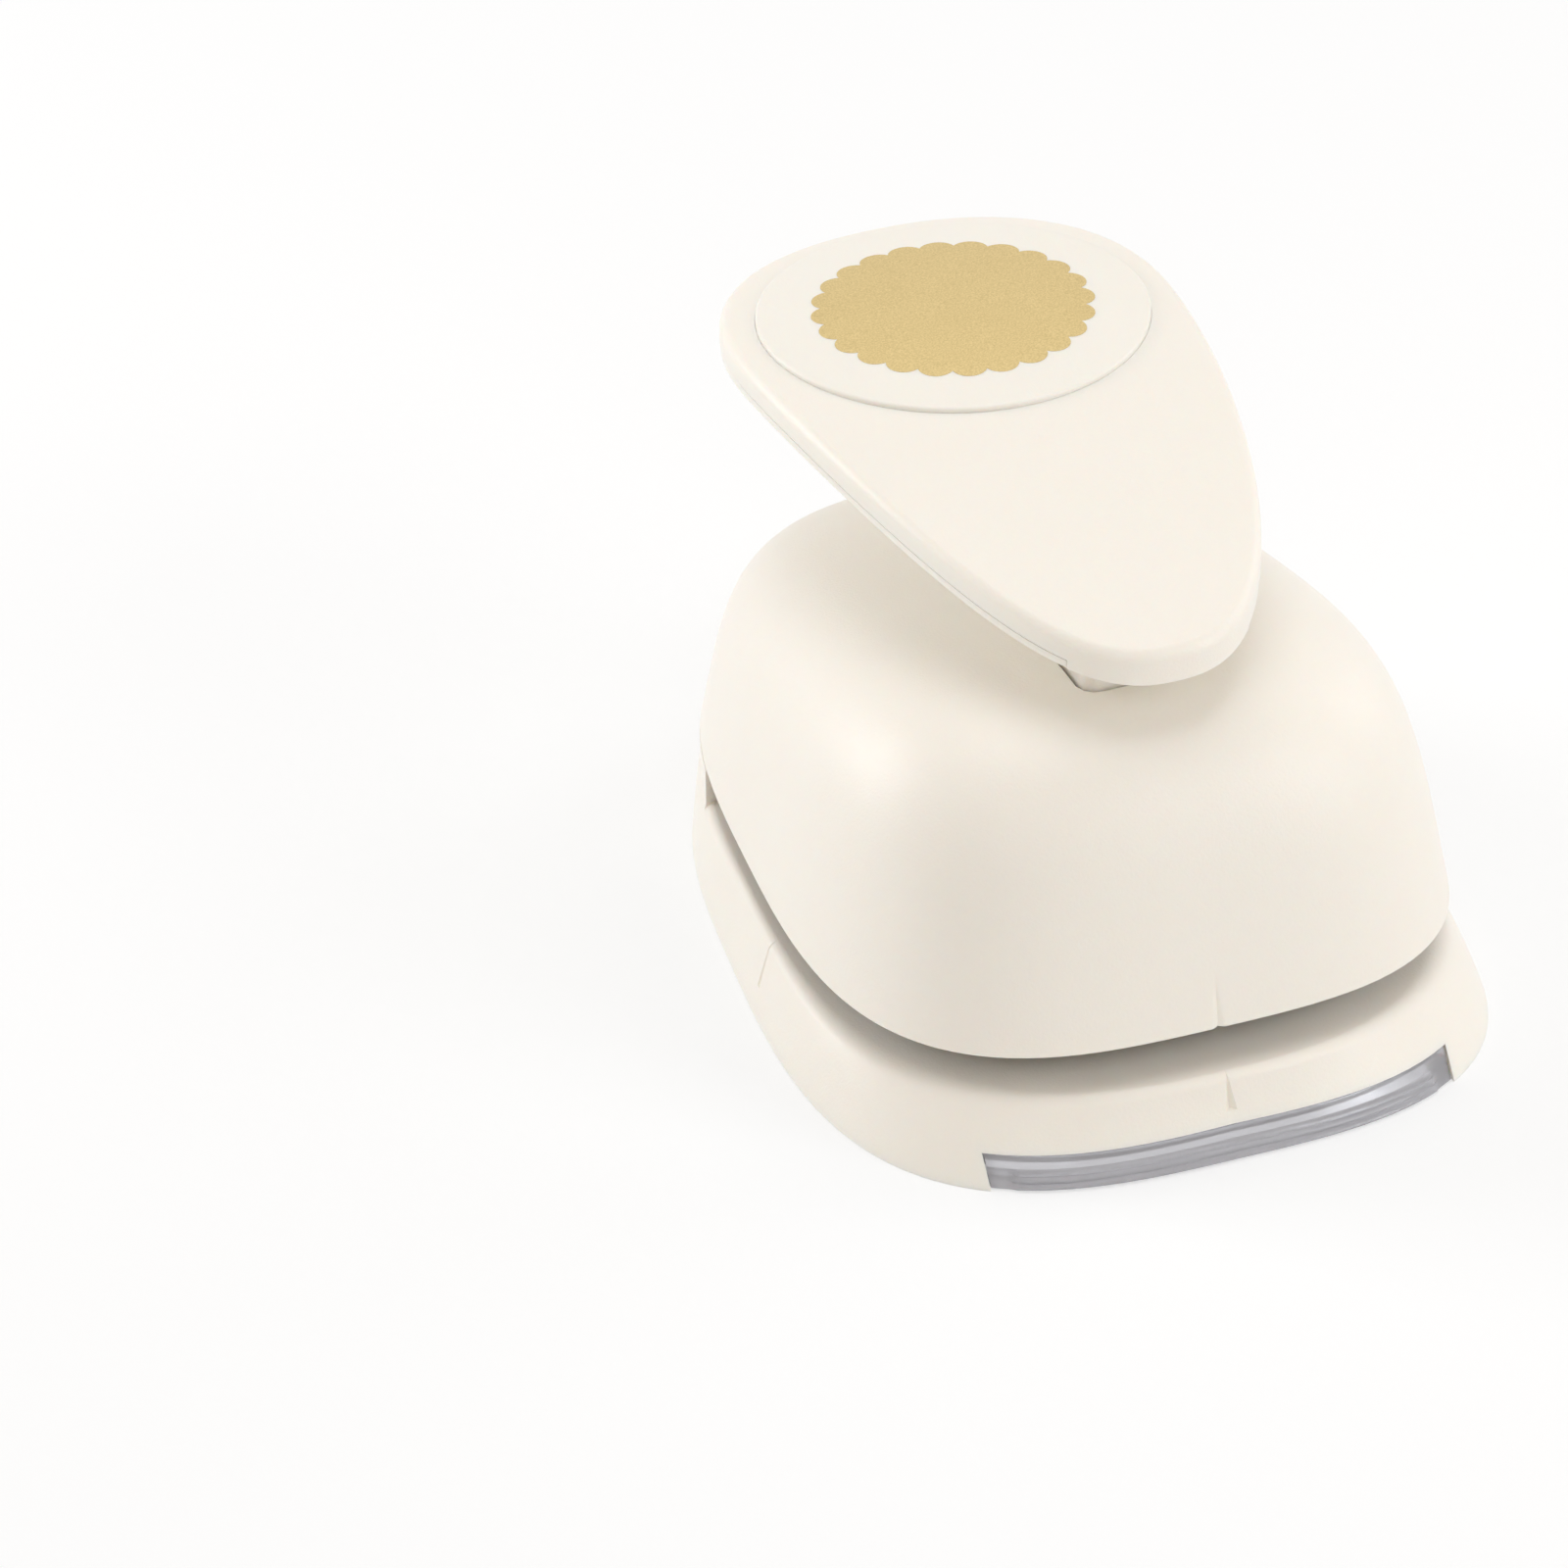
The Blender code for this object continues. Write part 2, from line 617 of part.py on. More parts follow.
def base_angle_at_axis(height):
    """Direction, seen from the body's middle, of the wall's point level with the die's axis."""
    low, high = -math.pi / 2, 0.0
    for _ in range(40):
        angle = (low + high) / 2
        if base_point(angle, height)[1] < 0:
            low = angle
        else:
            high = angle
    return angle


def base_shell():
    """Skirt, deck, raised rear, rails for the tray and bosses for the screws, moulded in one piece."""
    top = RIM_HEIGHT - FIT_GAP
    heights = [DECK_HEIGHT * share for share in (0, 0.12, 0.25, 0.4, 0.57, 0.75, 0.9)]
    shell = loft("base_shell", [base_ring(height) for height in heights + [top]])
    reach = BASE_HALF_WIDTH * 2
    subtract(shell, box("slot", -reach, reach, BASE_FRONT * 2, SHOULDER_FRONT, DECK_HEIGHT, top + OVERRUN))
    round_deck_edge(shell)
    hollow = [base_ring(height, BASE_WALL) for height in (-OVERRUN, 0, HOLLOW_TOP / 2, HOLLOW_TOP)]
    subtract(shell, loft("hollow", hollow))
    well = prism("well", egg_outline(DECK_PLAN, BASE_WALL), DECK_HEIGHT, top + OVERRUN)
    behind = box("behind", -reach, reach, SHOULDER_FRONT + SHOULDER_END_WALL, BASE_BACK * 2, HOLLOW_TOP,
                 top + OVERRUN * 2)
    subtract(shell, combine(well, [behind], "INTERSECT"))
    pocket = prism("pocket", egg_outline(DIE_PLAN, -FIT_GAP, PLATE_STEPS), POCKET_HEIGHT, top + OVERRUN * 3)
    subtract(shell, pocket)
    drill(shell, [(0, 0)], CHIP_HOLE_RADIUS, HOLLOW_TOP - OVERRUN / 2, POCKET_HEIGHT + OVERRUN, BODY_STEPS)
    notch = box("notch", -NOTCH_HALF_WIDTH, NOTCH_HALF_WIDTH, BASE_FRONT - OVERRUN, BASE_FRONT + NOTCH_DEPTH,
                -OVERRUN, NOTCH_HEIGHT)
    subtract(shell, notch)
    unite(shell, *tray_rails())
    places = [(side * REAR_SCREW_X, REAR_SCREW_Y) for side in (-1, 1)]
    for x, y in places:
        post = prism("post", circle(x, y, BASE_BOSS_RADIUS), BASE_BOSS_LOW, HOLLOW_TOP + DECK_FLOOR / 2)
        unite(shell, post)
    drill(shell, places, SCREW_RADIUS + FIT_GAP, -OVERRUN, POCKET_HEIGHT + OVERRUN)
    drill(shell, places, SCREW_HEAD_RADIUS + FIT_GAP, -OVERRUN, REAR_SCREW_SEAT)
    subtract(shell, *base_marks())
    return shell


def round_deck_edge(shell):
    """Round the outer edge of the deck in front of the raised rear."""
    shape = bmesh.new()
    shape.from_mesh(shell.data)
    tolerance = FIT_GAP / 10
    edges = []
    for edge in shape.edges:
        level = all(abs(v.co.z - DECK_HEIGHT) < tolerance for v in edge.verts)
        ahead = all(v.co.y < SHOULDER_FRONT + tolerance for v in edge.verts)
        turn = len(edge.link_faces) == 2 and edge.calc_face_angle(0) > math.pi / 4
        along = abs(edge.verts[0].co.y - edge.verts[1].co.y) > tolerance or edge.verts[0].co.y < 0
        if level and ahead and turn and along:
            edges.append(edge)
    bmesh.ops.bevel(shape, geom=edges, offset=DECK_EDGE_RADIUS, segments=2, profile=0.5, affect="EDGES")
    shape.to_mesh(shell.data)
    shape.free()


def tray_rails():
    """Two L-shaped rails and the stop behind the tray, reaching up into the underside of the deck."""
    outer = RAIL_INNER + RAIL_THICKNESS
    high = HOLLOW_TOP + DECK_FLOOR / 2
    lip_top = RAIL_LIP_LOW + RAIL_LIP_THICKNESS
    stop_front = TRAY_BACK + FIT_GAP
    stop_back = stop_front + RAIL_THICKNESS
    rails = []
    for side in (-1, 1):
        section = [(RAIL_INNER, high), (outer, high), (outer, RAIL_LIP_LOW),
                   (RAIL_INNER - RAIL_LIP_REACH, RAIL_LIP_LOW), (RAIL_INNER - RAIL_LIP_REACH, lip_top),
                   (RAIL_INNER, lip_top)]
        rings = [[(side * x, y, z) for x, z in section] for y in (RAIL_FRONT, stop_back)]
        rails.append(loft("rail", rings))
    stop = box("stop", -outer + FIT_GAP, outer - FIT_GAP, stop_front, stop_back + FIT_GAP, lip_top / 2,
               high - FIT_GAP)
    return rails + [stop]


def tray_lip():
    """Grip strip of the tray: it carries on the flare of the skirt, stepped in lengthwise ridges."""
    heights, depths = [], []
    for i in range(TRAY_RIDGE_COUNT + 1):
        low = blend(TRAY_LIP_LOW, TRAY_TOP, i / (TRAY_RIDGE_COUNT + 1))
        high = blend(TRAY_LIP_LOW, TRAY_TOP, (i + 0.72) / (TRAY_RIDGE_COUNT + 1))
        heights += [low, high]
        depths += [0.0 if i == 0 else TRAY_RIDGE_DEPTH / 2, 0.0]
    rings = []
    for i in range(TRAY_STEPS + 1):
        angle = blend(-TRAY_LIP_SWEEP, TRAY_LIP_SWEEP, i / TRAY_STEPS) - math.pi / 2
        face = [base_point(angle, height, depth) for height, depth in zip(heights, depths)]
        cap = base_point(angle, TRAY_TOP, TRAY_RIDGE_DEPTH / 2)
        rear = [base_point(angle, TRAY_TOP, TRAY_LIP_DEPTH)]
        rear.append((rear[0][0], rear[0][1], TRAY_LIP_LOW))
        rings.append(face + [cap] + rear)
    lip = loft("lip", rings)
    half = NOTCH_HALF_WIDTH - FIT_GAP
    trim = box("trim", -half, half, BASE_FRONT - OVERRUN, 0, -OVERRUN, NOTCH_HEIGHT + OVERRUN)
    return combine(lip, [trim], "INTERSECT")


def tray_outline(inset):
    """Plan of the tray: a curved front, straight sides and a straight back."""
    half = TRAY_HALF_WIDTH - inset
    front = []
    for i in range(TRAY_STEPS + 1):
        angle = blend(-TRAY_LIP_SWEEP, TRAY_LIP_SWEEP, i / TRAY_STEPS) - math.pi / 2
        x, y = egg_point(angle, SKIRT_PLAN, TRAY_FACE_INSET + inset)
        front.append((max(-half, min(half, x)), y))
    inside = [point for point in front if abs(point[0]) < half]
    corner = egg_point(-math.pi / 2 + TRAY_LIP_SWEEP / 2, SKIRT_PLAN, TRAY_FACE_INSET + inset)[1]
    corner = max(corner, inside[0][1])
    return [(-half, corner)] + inside + [(half, corner), (half, TRAY_BACK - inset), (-half, TRAY_BACK - inset)]


def chip_tray():
    """Clear tray that catches what is punched out, open at the top, with its grip strip in front."""
    tray = prism("chip_tray", tray_outline(0.0), TRAY_LOW, TRAY_TOP)
    unite(tray, tray_lip())
    return subtract(tray, prism("well", tray_outline(TRAY_WALL), TRAY_LOW + TRAY_FLOOR, TRAY_TOP + OVERRUN))


def die_plate():
    """Steel plate with the scalloped hole that the punch enters."""
    plate = prism("die_plate", egg_outline(DIE_PLAN, 0.0, PLATE_STEPS), DIE_LOW, DECK_HEIGHT)
    subtract(plate, prism("hole", scallops(CUT_GAP), DIE_LOW - OVERRUN, DECK_HEIGHT + OVERRUN))
    return drill(plate, rear_places(), SCREW_RADIUS + FIT_GAP, DIE_LOW - OVERRUN, DECK_HEIGHT + OVERRUN)


def rear_places():
    """Places in plan of the rear screws and the rivets, which hold both plates."""
    return [(side * REAR_SCREW_X, y) for side in (-1, 1) for y in (REAR_SCREW_Y, RIVET_Y)]


def corner_places(place):
    """The four places in plan at one distance from both middle planes."""
    return [(x * place, y * place) for x, y in ((-1, -1), (1, -1), (1, 1), (-1, 1))]


def bracket_screw_places():
    """Places in plan of the two screws in the bracket's feet."""
    middle = BRACKET_INNER + BRACKET_GAUGE + BRACKET_FOOT_REACH / 2
    return [(side * middle, (BRACKET_FRONT + BRACKET_REAR) / 2) for side in (-1, 1)]


def guide_plate():
    """Steel plate over the paper gap, which guides the punch and strips the paper off it."""
    plate = prism("guide_plate", egg_outline(GUIDE_PLAN, 0.0, PLATE_STEPS), GUIDE_LOW, GUIDE_TOP)
    low, high = GUIDE_LOW - OVERRUN, GUIDE_TOP + OVERRUN
    subtract(plate, prism("hole", scallops(CUT_GAP), low, high))
    drill(plate, rear_places() + bracket_screw_places(), SCREW_RADIUS + FIT_GAP, low, high)
    drill(plate, corner_places(POST_PLACE), POST_RADIUS + FIT_GAP, low, high)
    for side in (-1, 1):
        wide = SCREW_HEAD_RADIUS + FIT_GAP
        profile = [(0, low), (wide, low), (wide, GUIDE_LOW), (SCREW_RADIUS + FIT_GAP, GUIDE_LOW + wide / 2),
                   (SCREW_RADIUS + FIT_GAP, high), (0, high)]
        subtract(plate, turned("sink", profile, side * FRONT_SCREW_X, FRONT_SCREW_Y, HOLE_STEPS))
    return plate


def plate_spacer(side_name, side):
    """Strip between the plates that sets the paper gap."""
    edges = sorted((side * SPACER_INNER, side * SPACER_OUTER))
    outline = rounded_rectangle(edges[0], edges[1], SPACER_FRONT, SPACER_BACK, SPACER_CORNER, 2)
    spacer = prism("plate_spacer_" + side_name, outline, SPACER_LOW, SPACER_LOW + SPACER_THICKNESS)
    places = [(side * REAR_SCREW_X, REAR_SCREW_Y), (side * REAR_SCREW_X, RIVET_Y)]
    return drill(spacer, places, SCREW_RADIUS + FIT_GAP, SPACER_LOW - OVERRUN, GUIDE_TOP)


def plate_rivet(side_name, side):
    """Rivet through both plates and the spacer, flush below and headed above."""
    head = GUIDE_SEAT + RIVET_HEAD_HEIGHT
    profile = [(0, DIE_LOW), (SCREW_RADIUS, DIE_LOW), (SCREW_RADIUS, GUIDE_SEAT), (SCREW_HEAD_RADIUS, GUIDE_SEAT),
               (SCREW_HEAD_RADIUS * 0.7, head), (0, head)]
    return turned("plate_rivet_" + side_name, profile, side * REAR_SCREW_X, RIVET_Y, SCREW_STEPS)


def screw(name, place, seat, tip, head_height=SCREW_HEAD_HEIGHT, radius=SCREW_RADIUS,
          head_radius=SCREW_HEAD_RADIUS):
    """Pan-head screw whose head rests on the seat and whose shank runs to the tip."""
    way = 1 if tip > seat else -1
    crown = seat - way * head_height
    profile = [(0, crown), (head_radius * 0.7, crown), (head_radius, crown + way * head_height * 0.4),
               (head_radius, seat), (radius, seat), (radius, tip - way * radius), (radius * 0.3, tip), (0, tip)]
    return turned(name, profile, place[0], place[1], SCREW_STEPS)


def sunk_screw(name, place, low, tip):
    """Countersunk screw whose flat head is flush with the underside of the guide plate."""
    flare = low + (SCREW_HEAD_RADIUS - SCREW_RADIUS) * 0.9
    profile = [(0, low), (SCREW_HEAD_RADIUS * 0.94, low), (SCREW_RADIUS, flare), (SCREW_RADIUS, tip - SCREW_RADIUS),
               (SCREW_RADIUS * 0.3, tip), (0, tip)]
    return turned(name, profile, place[0], place[1], SCREW_STEPS)


def punch_head():
    """Scalloped steel punch with an arched cutting face, so that it shears in from both sides."""
    rings = []
    outline = scallops(0.0)
    for share in (0, 1):
        ring = []
        for x, y in outline:
            arch = PUNCH_SHEAR * (1 - (x / SHAPE_RADIUS) ** 2)
            ring.append((x, y, blend(PUNCH_LOW + arch, PUNCH_TOP, share)))
        rings.append(ring)
    head = arched_block("punch_head", rings)
    drill(head, [(0, 0)], PUNCH_POCKET_RADIUS, PUNCH_LOW + PUNCH_POCKET_FLOOR, PUNCH_TOP + OVERRUN,
          CARRIER_STEPS)
    return drill(head, carrier_screw_places(), CARRIER_SCREW_RADIUS + FIT_GAP,
                 PUNCH_TOP - CARRIER_SCREW_REACH - FIT_GAP, PUNCH_TOP + OVERRUN)


def arched_block(name, rings):
    """Solid between two rings whose lower end is arched, so it is filled by strips across it."""
    shape = bmesh.new()
    lower, upper = [[shape.verts.new(point) for point in ring] for ring in rings]
    count = len(lower)
    for i in range(count):
        j = (i + 1) % count
        shape.faces.new((lower[i], lower[j], upper[j], upper[i]))
    shape.faces.new(upper)
    half = count // 2
    for i in range(half):
        left = [lower[(count - i) % count], lower[(count - i - 1) % count]]
        right = [lower[i + 1], lower[i]]
        corners = []
        for vert in left + right:
            if vert not in corners:
                corners.append(vert)
        if len(corners) > 2:
            shape.faces.new(corners)
    mesh_data = bpy.data.meshes.new(name)
    shape.to_mesh(mesh_data)
    shape.free()
    return new_object(name, mesh_data)


def carrier_screw_places():
    """Places in plan of the screws that hold the punch to its carrier."""
    return circle(0, 0, CARRIER_SCREW_PLACE, 4)


def carrier_arm(facing):
    """Round-ended arm that starts inside the carrier's skirt and reaches round one post."""
    start = CARRIER_SKIRT_RADIUS - CARRIER_SKIRT_WALL / 2
    centre = math.hypot(POST_PLACE, POST_PLACE)
    outline = [(start, -ARM_RADIUS)]
    for i in range(ARC_STEPS + 1):
        turn = math.pi * (i / ARC_STEPS - 0.5)
        outline.append((centre + ARM_RADIUS * math.cos(turn), ARM_RADIUS * math.sin(turn)))
    outline.append((start, ARM_RADIUS))
    cosine, sine = math.cos(facing), math.sin(facing)
    outline = [(x * cosine - y * sine, x * sine + y * cosine) for x, y in outline]
    return prism("arm", outline, ARM_LOW, ARM_TOP)


def punch_carrier():
    """Moulded plunger: flange on the punch, round skirt, boss for the pad and four arms for the posts."""
    under = CARRIER_TOP - CARRIER_TOP_THICKNESS
    inner = CARRIER_SKIRT_RADIUS - CARRIER_SKIRT_WALL
    flange_top = CARRIER_LOW + CARRIER_FLANGE_THICKNESS
    profile = [(0, under), (inner, under), (inner, CARRIER_LOW), (CARRIER_FLANGE_RADIUS, CARRIER_LOW),
               (CARRIER_FLANGE_RADIUS, flange_top), (CARRIER_SKIRT_RADIUS, flange_top),
               (CARRIER_SKIRT_RADIUS, CARRIER_TOP), (CARRIER_BOSS_RADIUS + CARRIER_BOSS_DRAFT, CARRIER_TOP),
               (CARRIER_BOSS_RADIUS, BOSS_TOP), (0, BOSS_TOP)]
    carrier = turned("punch_carrier", profile, 0, 0, CARRIER_STEPS)
    for x, y in corner_places(POST_PLACE):
        unite(carrier, carrier_arm(math.atan2(y, x)))
    drill(carrier, corner_places(POST_PLACE), POST_RADIUS + FIT_GAP, ARM_LOW - OVERRUN, ARM_TOP + OVERRUN)
    drill(carrier, carrier_screw_places(), CARRIER_SCREW_RADIUS + FIT_GAP, CARRIER_LOW - OVERRUN,
          flange_top + OVERRUN)
    return drill(carrier, [(0, 0)], PAD_STEM_RADIUS + FIT_GAP, BOSS_TOP - PAD_STEM_LENGTH - FIT_GAP,
                 BOSS_TOP + OVERRUN)


def pressure_pad():
    """Steel button that the lever's nose presses on, with a stem in the carrier's boss."""
    foot = BOSS_TOP - PAD_STEM_LENGTH
    profile = [(0, foot), (PAD_STEM_RADIUS, foot), (PAD_STEM_RADIUS, PAD_LOW), (PAD_RADIUS, PAD_LOW),
               (PAD_RADIUS, PAD_TOP - PAD_EDGE), (PAD_RADIUS - PAD_EDGE, PAD_TOP), (0, PAD_TOP)]
    return turned("pressure_pad", profile, 0, 0, HOLE_STEPS)


def guide_post(number, place):
    """Steel post, flanged where it stands on the guide plate, that the carrier slides on."""
    seat_top = GUIDE_SEAT + POST_FLANGE_THICKNESS
    top = POST_TOP
    profile = [(0, GUIDE_LOW + FIT_GAP), (POST_RADIUS, GUIDE_LOW + FIT_GAP), (POST_RADIUS, GUIDE_SEAT),
               (POST_FLANGE_RADIUS, GUIDE_SEAT), (POST_FLANGE_RADIUS, seat_top), (POST_RADIUS, seat_top),
               (POST_RADIUS, top - POST_RADIUS / 3), (POST_RADIUS / 2, top), (0, top)]
    return turned("guide_post_%d" % number, profile, place[0], place[1], SCREW_STEPS)


def spring_points(place):
    """Helix of a return spring, with its end turns closed up."""
    low, high = SPRING_LOW + SPRING_WIRE_RADIUS, SPRING_TOP - SPRING_WIRE_RADIUS
    middle_pitch = (high - low - 2 * SPRING_END_PITCH) / (SPRING_TURNS - 2)
    points = []
    for i in range(SPRING_TURNS * SPRING_TURN_POINTS + 1):
        turns = i / SPRING_TURN_POINTS
        rise = min(turns, 1) * SPRING_END_PITCH + max(0, turns - SPRING_TURNS + 1) * SPRING_END_PITCH
        rise += min(max(turns - 1, 0), SPRING_TURNS - 2) * middle_pitch
        angle = 2 * math.pi * turns
        points.append((place[0] + SPRING_COIL_RADIUS * math.cos(angle),
                       place[1] + SPRING_COIL_RADIUS * math.sin(angle), low + rise))
    return points


def least_gap(points):
    """Smallest clear gap between turns of a spring, measured on its points."""
    gap = math.inf
    for i, first in enumerate(points):
        for second in points[i + SPRING_TURN_POINTS // 2:]:
            gap = min(gap, (Vector(first) - Vector(second)).length - 2 * SPRING_WIRE_RADIUS)
    return gap


def return_spring(number, place):
    """Compression spring round a guide post."""
    points = spring_points(place)
    if number == 1:
        print("least gap between spring turns, mm:", round(least_gap(points) * 1000, 2))
    return wire("return_spring_%d" % number, points, SPRING_WIRE_RADIUS)


def arc(y, z, radius, start, end, steps=ARC_STEPS):
    """Points of an arc in the YZ plane, in degrees from +Y towards +Z."""
    points = []
    for i in range(steps + 1):
        angle = math.radians(blend(start, end, i / steps))
        points.append((y + radius * math.cos(angle), z + radius * math.sin(angle)))
    return points


def pivot_bracket():
    """Pressed steel bracket: two cheeks that hold the pin, a web across the front, two feet."""
    outer = BRACKET_INNER + BRACKET_GAUGE
    cheek = [(BRACKET_FRONT, GUIDE_SEAT), (BRACKET_REAR, GUIDE_SEAT), (BRACKET_REAR, BRACKET_ARM_REAR)]
    cheek += arc(PIVOT_Y, PIVOT_HEIGHT, BRACKET_EYE_RADIUS, -50, 130, 8)
    cheek += [(BRACKET_FRONT, BRACKET_WEB_TOP)]
    web = box("pivot_bracket", -outer + FIT_GAP, outer - FIT_GAP, BRACKET_FRONT + FIT_GAP / 3,
              BRACKET_FRONT + BRACKET_GAUGE, GUIDE_SEAT + FIT_GAP, BRACKET_WEB_TOP - FIT_GAP)
    for side in (-1, 1):
        near, far = sorted((side * BRACKET_INNER, side * outer))
        unite(web, side_plate("cheek", cheek, near, far))
        near, far = sorted((side * (outer - BRACKET_GAUGE / 2), side * (outer + BRACKET_FOOT_REACH)))
        unite(web, box("foot", near, far, BRACKET_FRONT + FIT_GAP, BRACKET_REAR - FIT_GAP, GUIDE_SEAT,
                       GUIDE_SEAT + BRACKET_GAUGE))
    drill(web, bracket_screw_places(), SCREW_RADIUS + FIT_GAP, GUIDE_SEAT - OVERRUN,
          GUIDE_SEAT + BRACKET_GAUGE + OVERRUN)
    eye = arc(PIVOT_Y, PIVOT_HEIGHT, PIN_RADIUS + FIT_GAP, 0, 360, HOLE_STEPS)[:-1]
    return subtract(web, side_plate("eye", eye, -outer - OVERRUN, outer + OVERRUN))


def crosswise(profile, steps):
    """Solid turned about the pivot's axis, from (radius, x) points that begin and end on it."""
    item = turned("turned", profile, 0, 0, steps)
    lie = Matrix(((0, 0, 1, 0), (1, 0, 0, PIVOT_Y), (0, 1, 0, PIVOT_HEIGHT), (0, 0, 0, 1)))
    item.data.transform(lie)
    return item


def pivot_pin():
    """Steel pin with a head at one end and a groove for its clip at the other."""
    outer = BRACKET_INNER + BRACKET_GAUGE
    head_face = -outer - FIT_GAP
    groove = outer + FIT_GAP
    groove_end = groove + CLIP_THICKNESS + 2 * FIT_GAP
    neck = PIN_RADIUS - CLIP_GROOVE_DEPTH
    end = outer + PIN_OVERHANG
    profile = [(0, head_face - PIN_HEAD_THICKNESS), (PIN_HEAD_RADIUS, head_face - PIN_HEAD_THICKNESS),
               (PIN_HEAD_RADIUS, head_face), (PIN_RADIUS, head_face), (PIN_RADIUS, groove), (neck, groove),
               (neck, groove_end), (PIN_RADIUS, groove_end), (PIN_RADIUS, end), (0, end)]
    pin = crosswise(profile, HOLE_STEPS)
    pin.name = "pivot_pin"
    return pin


def pin_clip():
    """Spring clip snapped into the pin's groove, open on its lower side."""
    low = BRACKET_INNER + BRACKET_GAUGE + 2 * FIT_GAP
    hole = PIN_RADIUS - CLIP_GROOVE_DEPTH + FIT_GAP
    outer_turn = math.degrees(math.asin(CLIP_MOUTH_HALF_WIDTH / CLIP_RADIUS))
    inner_turn = math.degrees(math.asin(CLIP_MOUTH_HALF_WIDTH / hole))
    outline = arc(PIVOT_Y, PIVOT_HEIGHT, CLIP_RADIUS, outer_turn - 90, 270 - outer_turn, HOLE_STEPS)
    outline += arc(PIVOT_Y, PIVOT_HEIGHT, hole, 270 - inner_turn, inner_turn - 90, HOLE_STEPS)
    return side_plate("pin_clip", outline, low, low + CLIP_THICKNESS)


def dome_boss(place, rib_front):
    """Screw boss inside the dome, with a rib to the front wall where rib_front gives its reach."""
    x, y = place
    high = DOME_HEIGHT * 2
    boss = prism("boss", circle(x, y, DOME_BOSS_RADIUS, 12), GUIDE_SEAT, high)
    if rib_front:
        half = DOME_RIB_THICKNESS / 2
        unite(boss, box("rib", x - half, x + half, rib_front, y, RIM_HEIGHT + DOME_WALL, high - OVERRUN))
    core = loft("core", dome_rings(DOME_WALL / 2, DOME_STEPS))
    low = [(px, py, GUIDE_SEAT - OVERRUN) for px, py in egg_outline(DOME_PLAN, DOME_WALL / 2)]
    skirt = loft("skirt", [low, dome_ring(DOME_BOSS_CLIMB_SHARE, DOME_WALL / 2)])
    combine(boss, [unite(core, skirt)], "INTERSECT")
    return boss


def dome_shell():
    """Moulded cover with the lever's window, screw bosses inside and the mark at its front rim."""
    inner = dome_rings(DOME_WALL, DOME_STEPS)
    shell = loft("dome_shell", list(reversed(inner)) + dome_rings(0.0, DOME_STEPS))
    for side in (-1, 1):
        unite(shell, dome_boss((side * REAR_SCREW_X, REAR_SCREW_Y), None))
        unite(shell, dome_boss((side * FRONT_SCREW_X, FRONT_SCREW_Y), DOME_FRONT))
    places = [(side * x, y) for side in (-1, 1)
              for x, y in ((REAR_SCREW_X, REAR_SCREW_Y), (FRONT_SCREW_X, FRONT_SCREW_Y))]
    drill(shell, places, SCREW_RADIUS + FIT_GAP, GUIDE_SEAT - OVERRUN, GUIDE_SEAT + PILOT_DEPTH)
    window = rounded_rectangle(-WINDOW_HALF_WIDTH, WINDOW_HALF_WIDTH, WINDOW_FRONT, WINDOW_BACK, WINDOW_CORNER)
    subtract(shell, prism("window", window, RIM_HEIGHT, DOME_HEIGHT * 2))
    rim = -dome_ring(0, 0.0)[BODY_STEPS * 3 // 4][1]
    upper = -dome_ring(DOME_MARK_CLIMB_SHARE, 0.0)[BODY_STEPS * 3 // 4][1]
    mark = mark_cutter("mark", -math.pi / 2, RIM_HEIGHT - FIT_GAP, RIM_HEIGHT + DOME_MARK_RISE, rim, upper,
                       DOME_MARK_HALF_WIDTH, DOME_MARK_HALF_WIDTH * DOME_MARK_TOP_SHARE,
                       DOME_MARK_DEPTH / DOME_MARK_HALF_WIDTH)
    return subtract(shell, mark)


def lever_outline(inset=0.0):
    """Plan of the lever: a broad round rear that narrows to a blunt tip."""
    points = []
    for angle in directions(LEVER_STEPS):
        cosine, sine = math.cos(angle), math.sin(angle)
        if sine > 0:
            x = signed_power(cosine, 2 / LEVER_BACK_POWER)
            y = signed_power(sine, 2 / LEVER_BACK_POWER) * (LEVER_BACK - inset - LEVER_MID)
        else:
            x = signed_power(cosine, 2 * LEVER_FRONT_ROUND_SHARE)
            y = signed_power(sine, 2 / LEVER_FRONT_POWER) * (LEVER_MID - LEVER_FRONT - inset)
        points.append(((LEVER_HALF_WIDTH - inset) * x, LEVER_MID + y))
    return points


def lever_half_width(y, inset=0.0):
    """Half width of the lever's plan at one place along it."""
    if y > LEVER_MID:
        share = (y - LEVER_MID) / (LEVER_BACK - inset - LEVER_MID)
        rest = max(0.0, 1 - share ** LEVER_BACK_POWER)
        return (LEVER_HALF_WIDTH - inset) * rest ** (1 / LEVER_BACK_POWER)
    share = (LEVER_MID - y) / (LEVER_MID - LEVER_FRONT - inset)
    rest = max(0.0, 1 - share ** LEVER_FRONT_POWER)
    return (LEVER_HALF_WIDTH - inset) * rest ** LEVER_FRONT_ROUND_SHARE


def lever_top(x, y):
    """Height of the lever's crowned top face."""
    if y < LEVER_TOP_PEAK:
        drop = LEVER_FRONT_DROP * ((LEVER_TOP_PEAK - y) / (LEVER_TOP_PEAK - LEVER_FRONT)) ** 2
    else:
        drop = LEVER_BACK_DROP * ((y - LEVER_TOP_PEAK) / (LEVER_BACK - LEVER_TOP_PEAK)) ** 2
    return LEVER_TOP - drop - LEVER_SIDE_DROP * (x / LEVER_HALF_WIDTH) ** 2


def lever_edge(y):
    """Height of the lever's top face where it meets the side wall."""
    return lever_top(lever_half_width(y), y)


